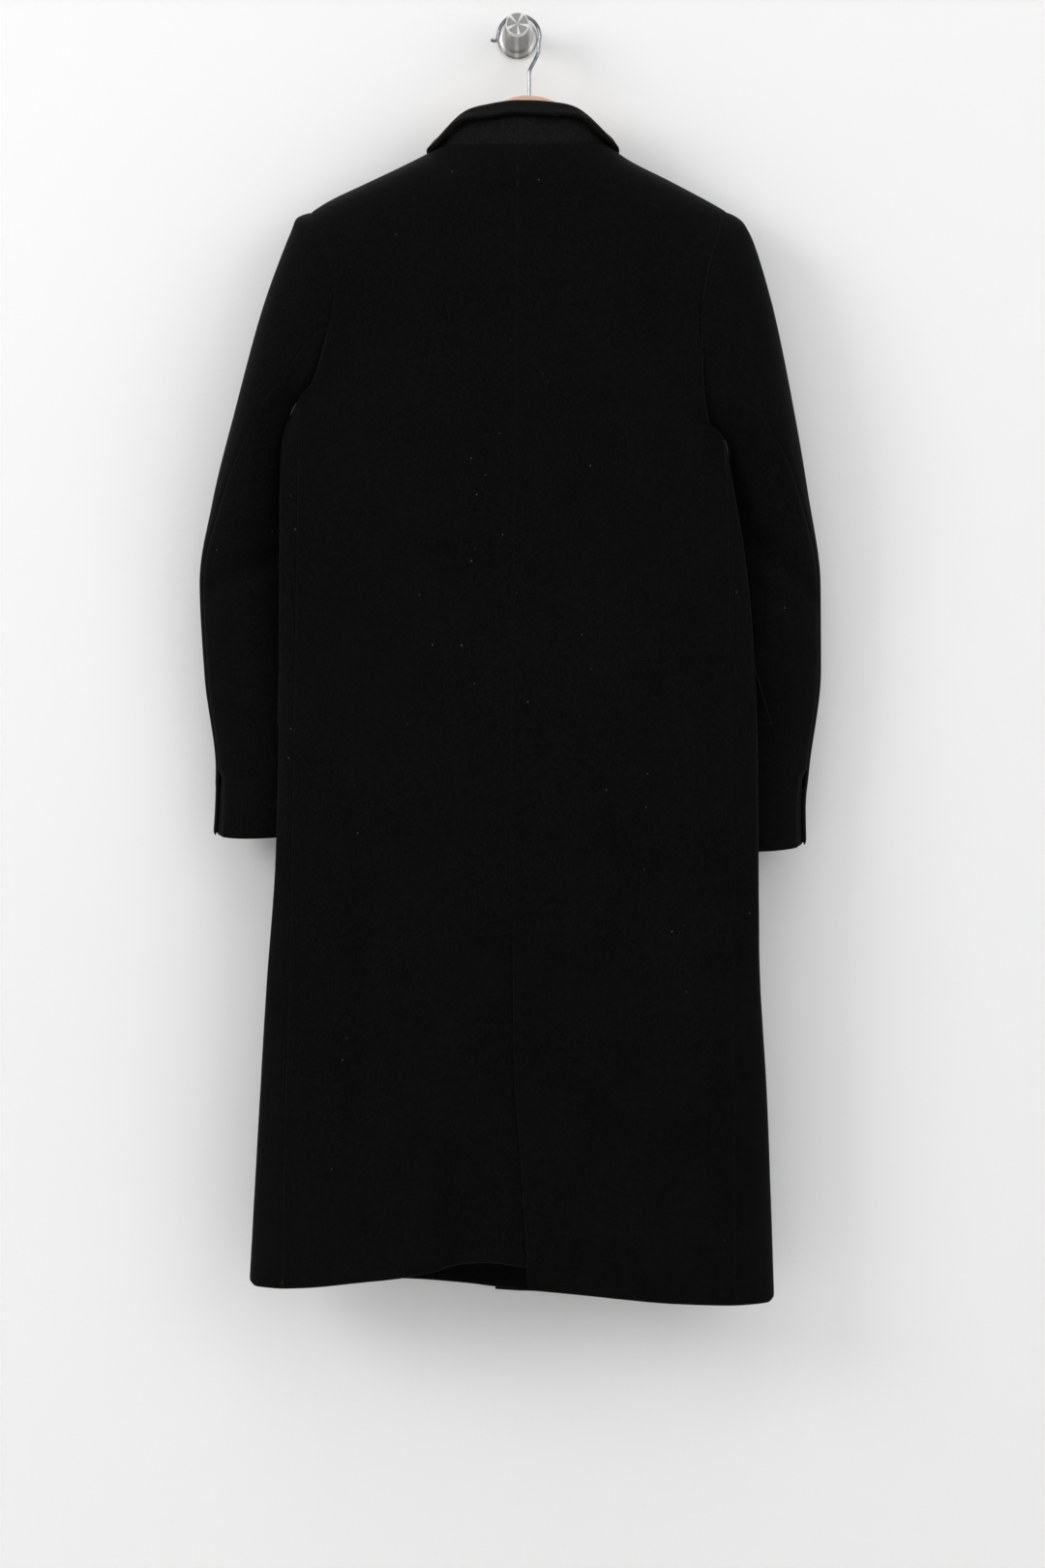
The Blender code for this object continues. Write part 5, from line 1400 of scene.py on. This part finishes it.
@dataclass(frozen=True)
class WoolFinish:
    """Black wool melton: short raised nap, faint mottling, lint, paler along seams and edges partly as wear
    and partly as a painted shine.
    """

    name: str = "black wool"
    deep: Triple = (0.0005, 0.0005, 0.0005)
    pale: Triple = (0.0033, 0.0033, 0.0032)
    worn_and_painted_shine: Triple = (0.0066, 0.0065, 0.0064)
    lint: Triple = (0.16, 0.155, 0.15)
    cloud_scale: float = 14.0
    tuft_scale: float = 400.0
    nap_scale: float = 850.0
    lint_scale: float = 80.0
    lint_rarity: float = 0.8

    def material(self) -> bpy.types.Material:
        """Makes the material."""
        graph = Graph(self.name)
        place = graph.place()
        cloud = graph.noise(place, self.cloud_scale, 3.0, 0.6)
        tuft = graph.noise(place, self.tuft_scale, 2.0, 0.6)
        nap = graph.noise(place, self.nap_scale, 3.0, 0.7)
        fibre = graph.noise(graph.place((900.0, 900.0, 260.0)), 1.0, 2.0, 0.6)
        shade = graph.between(0.12 * cloud + 0.32 * tuft + 0.34 * nap + 0.22 * fibre, 0.36, 0.64)
        colour = graph.mixed(shade, self.deep, self.pale)
        # Paler along seams and edges: partly wear, partly a painted highlight where the rims catch the
        # light
        near = 1 - graph.between(graph.attribute("edge_distance"), 0.0002, 0.0016)
        colour = graph.mixed(near * (0.05 + 0.45 * cloud), colour, self.worn_and_painted_shine)
        rare = graph.cells(place, self.lint_scale, "Color") > self.lint_rarity
        speck = (graph.cells(place, self.lint_scale, "Distance") < 0.015 + 0.06 * tuft) * rare
        colour = graph.mixed(speck * nap, colour, self.lint)
        rough = 0.9 + 0.08 * nap
        normal = graph.bump(0.3 * tuft + 0.4 * nap + 0.3 * fibre, 0.0009, 0.8)
        sheen = {"Sheen Weight": 0.035, "Sheen Roughness": 0.45, "Sheen Tint": (0.5, 0.5, 0.49, 1.0)}
        return graph.finish(colour, rough, normal, {**sheen, "Specular IOR Level": 0.05})


@dataclass(frozen=True)
class ButtonFinish:
    """Polished black horn-like resin with faint streaks."""

    dark: Triple = (0.008, 0.007, 0.007)
    streak: Triple = (0.03, 0.024, 0.02)

    def material(self) -> bpy.types.Material:
        """Makes the material."""
        graph = Graph("black button")
        grain = graph.noise(graph.place((60.0, 60.0, 320.0)), 1.0, 4.0, 0.6)
        colour = graph.mixed(graph.between(grain, 0.5, 0.8), self.dark, self.streak)
        return graph.finish(colour, 0.22 + 0.2 * grain, graph.bump(grain, 0.00005, 0.4))


@dataclass(frozen=True)
class ThreadFinish:
    """Waxed black sewing thread with its twist."""

    dark: Triple = (0.008, 0.008, 0.009)
    light: Triple = (0.04, 0.04, 0.042)

    def material(self) -> bpy.types.Material:
        """Makes the material."""
        graph = Graph("black thread")
        twist = graph.noise(graph.place((1800.0, 600.0, 1800.0)), 1.0, 1.0)
        colour = graph.mixed(graph.between(twist, 0.3, 0.7), self.dark, self.light)
        return graph.finish(colour, 0.55, graph.bump(twist, 0.0002, 0.6))


@dataclass(frozen=True)
class WoodFinish:
    """Pinkish beech with long grain and short flecks, under a thin satin varnish."""

    pale: Triple = (0.64, 0.43, 0.32)
    grain: Triple = (0.47, 0.29, 0.2)
    fleck: Triple = (0.36, 0.2, 0.13)

    def material(self) -> bpy.types.Material:
        """Makes the material."""
        graph = Graph("beech wood")
        growth = graph.noise(graph.place((3.0, 60.0, 110.0)), 1.0, 4.0, 0.6)
        colour = graph.mixed(graph.between(growth, 0.35, 0.75), self.pale, self.grain)
        flecks = graph.noise(graph.place((190.0, 900.0, 1500.0)), 1.0, 2.0)
        colour = graph.mixed(graph.between(flecks, 0.6, 0.74) * 0.7, colour, self.fleck)
        normal = graph.bump(0.5 * growth + 0.5 * flecks, 0.00012, 0.5)
        varnish = {"Coat Weight": 0.25, "Coat Roughness": 0.25}
        return graph.finish(colour, 0.36 + 0.18 * growth, normal, varnish)


@dataclass(frozen=True)
class SteelFinish:
    """Steel: turned with fine rings about the knob's axis, with painted radial glints, a painted bright rim
    and painted streaks, or drawn into bright wire with random scuffs.
    """

    name: str
    turned: bool
    colour: Triple
    scuffs_and_painted_glints: Triple
    ring_scale: float = 9000.0
    painted_ray_count: float = 5.0
    painted_ray_turn: float = 2.53
    painted_streak_scale: float = 460.0
    painted_streak_shift: float = 1.9

    def material(self) -> bpy.types.Material:
        """Makes the material."""
        graph = Graph(self.name)
        cloud = graph.noise(graph.place(), 160.0, 3.0)
        if self.turned:
            axes = graph.node("ShaderNodeSeparateXYZ", None, {0: graph.place()})
            x, y, z = (Socket(graph, axes.outputs[number]) for number in range(3))
            radius = graph.maths("SQRT", x * x + z * z)
            scale = self.ring_scale
            spot = graph.value("ShaderNodeCombineXYZ", 0, {0: radius * scale, 1: y * scale})
            rings = graph.noise(spot, 1.0, 2.0, 0.7)
            # Painted reflections: bright radial wedges on the turned face
            turn = graph.maths("ARCTAN2", z, x)
            painted_rays = graph.maths("SINE", self.painted_ray_count * turn + self.painted_ray_turn) + 0.25 * rings
            painted_rays = graph.between(painted_rays, 0.72, 1.05)
            face = y < KNOB_FACE_Y
            # Painted highlight: a bright ring round the face's rim
            edge = graph.between(radius, KNOB_RIM_RADIUS, KNOB_RIM_RADIUS + 0.0006)
            edge = edge * (y < KNOB_HEAD_Y)
            # Painted reflection streaks on the stem, which is kept darker than the face as painted shade
            streak = graph.maths("SINE", self.painted_streak_scale * x + self.painted_streak_shift) + 0.4 * rings
            streak = graph.between(streak, 0.1, 1.4)
            # The colour mix follows these painted glints and this painted shade
            cloud = face * painted_rays + (1 - face) * streak * 0.55 + 0.8 * edge
            roughness, height = 0.3 + 0.16 * rings, rings
        else:
            drawn = graph.noise(graph.place((400.0, 400.0, 400.0)), 3.0, 2.0)
            roughness, height = 0.16 + 0.14 * cloud, drawn
        low, high = (0.0, 1.0) if self.turned else (0.35, 0.75)
        colour = graph.mixed(graph.between(cloud, low, high), self.colour, self.scuffs_and_painted_glints)
        normal = graph.bump(height, 0.00003 if self.turned else 0.00001, 0.8)
        return graph.finish(colour, roughness, normal, {"Metallic": 1.0})


def select_only(*pieces: bpy.types.Object) -> None:
    """Selects these objects and no others, with the first one active."""
    bpy.ops.object.select_all(action="DESELECT")
    for piece in pieces:
        piece.select_set(True)
    bpy.context.view_layer.objects.active = pieces[0]


@dataclass
class Buttons:
    """The hidden front's sewn-on buttons and the stitched holes that they close."""

    coat: Coat
    radius: float = 0.0125
    thickness: float = 0.004
    hole_radius: float = 0.00095
    hole_reach: float = 0.0023
    thread_depth: float = 0.001
    thread_width: float = 0.0006
    thread_shift: float = 0.00035
    thread_rise: float = 0.0005
    crossing_rise: float = 0.0002
    edge_rounding: float = 0.00045

    def blank(self) -> bpy.types.Object:
        """One four-hole button about the Y axis, its back at y = 0, modelled at the origin."""
        bpy.ops.mesh.primitive_cylinder_add(
            vertices=64,
            radius=self.radius,
            depth=self.thickness,
            location=(0.0, self.thickness / 2, 0.0),
            rotation=(-math.pi / 2, 0.0, 0.0),
        )
        button = bpy.context.object
        bpy.ops.object.transform_apply(location=True, rotation=True, scale=True)
        cutters = []
        for across, up in ((-1, -1), (-1, 1), (1, -1), (1, 1)):
            bpy.ops.mesh.primitive_cylinder_add(
                vertices=24,
                radius=self.hole_radius,
                depth=4 * self.thickness,
                location=(across * self.hole_reach, 0.0, up * self.hole_reach),
                rotation=(math.pi / 2, 0.0, 0.0),
            )
            cutters.append(bpy.context.object)
        for cutter in cutters:
            select_only(button)
            cut = button.modifiers.new("hole", "BOOLEAN")
            cut.operation = "DIFFERENCE"
            cut.solver = "EXACT"
            cut.object = cutter
            bpy.ops.object.modifier_apply(modifier=cut.name)
            bpy.data.objects.remove(cutter)
        rounding = button.modifiers.new("rounded edges", "BEVEL")
        rounding.width = self.edge_rounding
        rounding.segments = 3
        rounding.limit_method = "ANGLE"
        rounding.angle_limit = math.radians(35)
        bpy.ops.object.modifier_apply(modifier=rounding.name)
        bpy.ops.object.shade_smooth_by_angle(angle=math.radians(40))
        return button

    def cord(
        self, name: str, paths: list, width: float, finish: bpy.types.Material
    ) -> bpy.types.Object:
        """Thread along paths, as one mesh.

        Args:
            name: the piece's name.
            paths: for each thread its points and whether it closes.
            width: the thread's width.
            finish: its material.

        Returns:
            The finished piece.
        """
        curve = bpy.data.curves.new(name, "CURVE")
        curve.dimensions = "3D"
        curve.bevel_depth = width / 2
        curve.bevel_resolution = 2
        curve.use_fill_caps = True
        for places, closed in paths:
            spline = curve.splines.new("POLY")
            spline.points.add(len(places) - 1)
            spline.use_cyclic_u = closed
            for point, place in zip(spline.points, places):
                point.co = (*place, 1.0)
        select_only(placed(name, curve))
        bpy.ops.object.convert(target="MESH")
        made = bpy.context.object
        made.data.materials.clear()
        made.data.materials.append(finish)
        made.data.shade_smooth()
        return declared(made)

    def face_at(self, x, z) -> np.ndarray:
        """y of the right front's outer face near the centre."""
        rows = self.coat.panels["front_right"].points
        row = rows[int(np.argmin(np.abs(rows[:, -1 - FINER, 2] - z)))]
        tail = np.argsort(row[:, 0])[:LAP_POINTS]
        return np.interp(x, row[tail, 0], row[tail, 1])

    def build(self, horn: bpy.types.Material, thread: bpy.types.Material) -> None:
        """Makes every button in its node's place, its thread and its buttonhole."""
        blank = self.blank()
        for number in range(1, BUTTON_COUNT + 1):
            low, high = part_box(f"button_{number}")
            centre = (np.array(low) + np.array(high)) / 2
            seat = np.array((centre[0], low[1], centre[2]))
            mesh = blank.data.copy()
            places = np.empty(len(mesh.vertices) * 3)
            mesh.vertices.foreach_get("co", places)
            mesh.vertices.foreach_set("co", (places.reshape(-1, 3) + seat).reshape(-1))
            mesh.materials.clear()
            mesh.materials.append(horn)
            button = placed(f"horn_button_{number}", mesh)
            declared(button, (f"button_{number}",))
            self.stitches(number, seat, thread)
            self.buttonhole(number, seat, thread)
        bpy.data.objects.remove(blank)

    def stitches(self, number: int, seat: np.ndarray, thread: bpy.types.Material) -> None:
        """Two crossed bundles of thread through the four holes."""
        reach = self.hole_reach
        dish = self.thickness - self.thread_depth
        paths = []
        for way in (1, -1):
            for shift in (-self.thread_shift, 0.0, self.thread_shift):
                rise = self.thread_rise + self.crossing_rise * (way > 0)
                profile = ((-1.0, 0.0003), (-1.0, dish - 0.0002), (-0.8, dish + rise * 0.7))
                profile += ((0.0, dish + rise),)
                half = [(share * reach, y, share * reach * way) for share, y in profile]
                line = half + [(-x, y, -z) for x, y, z in half[-2::-1]]
                paths.append(([seat + (x + shift, y, z - shift * way) for x, y, z in line], False))
        self.cord(f"button_thread_{number}", paths, self.thread_width, thread)

    def buttonhole(self, number: int, seat: np.ndarray, thread: bpy.types.Material) -> None:
        """A stitched oval round a slit, running from under the button into the front."""
        turns = np.linspace(0, 2 * math.pi, BUTTONHOLE_POINTS, endpoint=False)
        half, cosine = BUTTONHOLE_LENGTH / 2, np.cos(turns)
        middle = seat[0] + half + BUTTONHOLE_START
        x = middle + half * np.sign(cosine) * np.abs(cosine) ** 0.5
        z = seat[2] + BUTTONHOLE_HALF_WIDTH * np.sin(turns)
        y = self.face_at(x, seat[2]) + BUTTONHOLE_LIFT
        ripple = BUTTONHOLE_RIPPLE * np.cos(np.arange(BUTTONHOLE_POINTS) * math.pi)
        ring = [(a, b + c, d) for a, b, c, d in zip(x, y, ripple, z)]
        self.cord(f"buttonhole_{number}", [(ring, True)], BUTTONHOLE_THREAD, thread)


@dataclass
class HangingSet:
    """The hanger, its hook and the wall knob, whose CAD shapes are right and only get their finishes."""

    def dress(
        self, wood: bpy.types.Material, wire: bpy.types.Material, steel: bpy.types.Material
    ) -> None:
        """Puts the finishes on the CAD nodes."""
        for name, finish in (("hanger", wood), ("hanger_hook", wire), ("wall_knob", steel)):
            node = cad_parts[name]
            for place in node.material_slots:
                place.material = finish
            LOG.info("%s: kept, %s", name, finish.name)


@dataclass
class Studio:
    """Pale wall and floor, soft lights and the photograph's camera."""

    wall_colour: Triple = (0.8, 0.803, 0.803)
    floor_colour: Triple = (0.72, 0.71, 0.7)
    half_width: float = 3.5
    floor_reach: float = 4.0
    floor_z: float = -1.65
    wall_y: float = 0.0005
    wall_top_z: float = 1.4

    def plain(self, name: str, colour: Triple, one_sided: bool) -> bpy.types.Material:
        """A plain matt finish, which can be clear from behind."""
        graph = Graph(name)
        place = graph.place()
        tone = graph.between(graph.noise(place, 1.2, 2.0), 0.2, 0.8)
        mottled = graph.mixed(tone, tuple(0.985 * part for part in colour), colour)
        material = graph.finish(mottled, 0.9)
        if one_sided:
            clear = graph.node("ShaderNodeBsdfTransparent")
            behind = graph.value("ShaderNodeNewGeometry", "Backfacing", {})
            mix = graph.node("ShaderNodeMixShader", None, {0: behind})
            graph.tree.links.new(graph.shader.outputs[0], mix.inputs[1])
            graph.tree.links.new(clear.outputs[0], mix.inputs[2])
            graph.tree.links.new(mix.outputs[0], graph.tree.nodes["Material Output"].inputs[0])
        return material

    def sheet(self, name: str, corners: list, material: bpy.types.Material) -> bpy.types.Object:
        """One flat face of the stage."""
        mesh = bpy.data.meshes.new(name)
        mesh.from_pydata(corners, [], [(0, 1, 2, 3)])
        mesh.materials.append(material)
        return placed(name, mesh)

    def light(self, name: str, place: tuple, size: float, power: float, tint: tuple) -> None:
        """A square soft light, turned to the middle of the coat."""
        data = bpy.data.lights.new(name, "AREA")
        data.size = size
        data.energy = power
        data.color = tint
        lamp = placed(name, data)
        way = np.array(LIGHT_TARGET) - np.array(place)
        lamp.location = place
        across = math.hypot(way[0], way[1])
        turn = math.atan2(way[1], way[0]) - math.pi / 2
        lamp.rotation_euler = (math.atan2(across, -way[2]), 0.0, turn)

    def build(self) -> None:
        """Makes the stage, the lights, the world and the camera."""
        x, y, z, top = self.half_width, self.wall_y, self.floor_z, self.wall_top_z
        paint = self.plain("wall paint", self.wall_colour, True)
        wall = self.sheet("wall", [(-x, y, z), (x, y, z), (x, y, top), (-x, y, top)], paint)
        wall.visible_shadow = False
        reach = self.floor_reach
        corners = [(-x, -reach, z), (x, -reach, z), (x, reach, z), (-x, reach, z)]
        floor = self.sheet("floor", corners, self.plain("pale floor", self.floor_colour, False))
        for name, place, size, power, tint in LIGHTS:
            self.light(name, place, size, power, tint)
        world = bpy.data.worlds.new("studio")
        world.use_nodes = True
        background = world.node_tree.nodes["Background"].inputs
        background["Color"].default_value = WORLD_COLOUR
        background["Strength"].default_value = WORLD_STRENGTH
        bpy.context.scene.world = world
        bpy.context.scene.view_settings.view_transform = "Standard"
        lens = bpy.data.cameras.new("camera")
        lens.sensor_fit = "AUTO"
        lens.sensor_width = SENSOR_WIDTH
        lens.lens = FOCAL_PIXELS / PHOTO_HEIGHT * SENSOR_WIDTH
        camera = placed("camera", lens)
        camera.location = CAMERA_PLACE
        camera.rotation_euler = (math.radians(90), 0.0, 0.0)
        bpy.context.scene.camera = camera


def main() -> None:
    """Builds the coat piece by piece over the frame."""
    logging.basicConfig(level=logging.INFO, format="%(name)s %(message)s")
    wool = WoolFinish().material()
    coat = Coat()
    coat.cut()
    coat.build(wool)
    # The collar gets a lighter copy of the wool: painted light where the collar catches it
    collar_painted_light_tones = ((0.0014, 0.0014, 0.0014), (0.009, 0.009, 0.0088))
    raised = WoolFinish("black wool, painted lighter as lit collar", *collar_painted_light_tones)
    Collar(coat).build(raised.material())
    for side in Side:
        PocketFlap(coat, side).build(wool)
    Buttons(coat).build(ButtonFinish().material(), ThreadFinish().material())
    wire = SteelFinish("hook wire", False, (0.2, 0.205, 0.22), (0.1, 0.105, 0.115))
    # The knob's pale colour is a painted glint; its darker colour lies between the glints
    knob = SteelFinish("turned steel, painted glints", True, (0.33, 0.325, 0.32), (0.8, 0.8, 0.79))
    HangingSet().dress(WoodFinish().material(), wire.material(), knob.material())
    Studio().build()


if __name__ == "__main__":
    main()
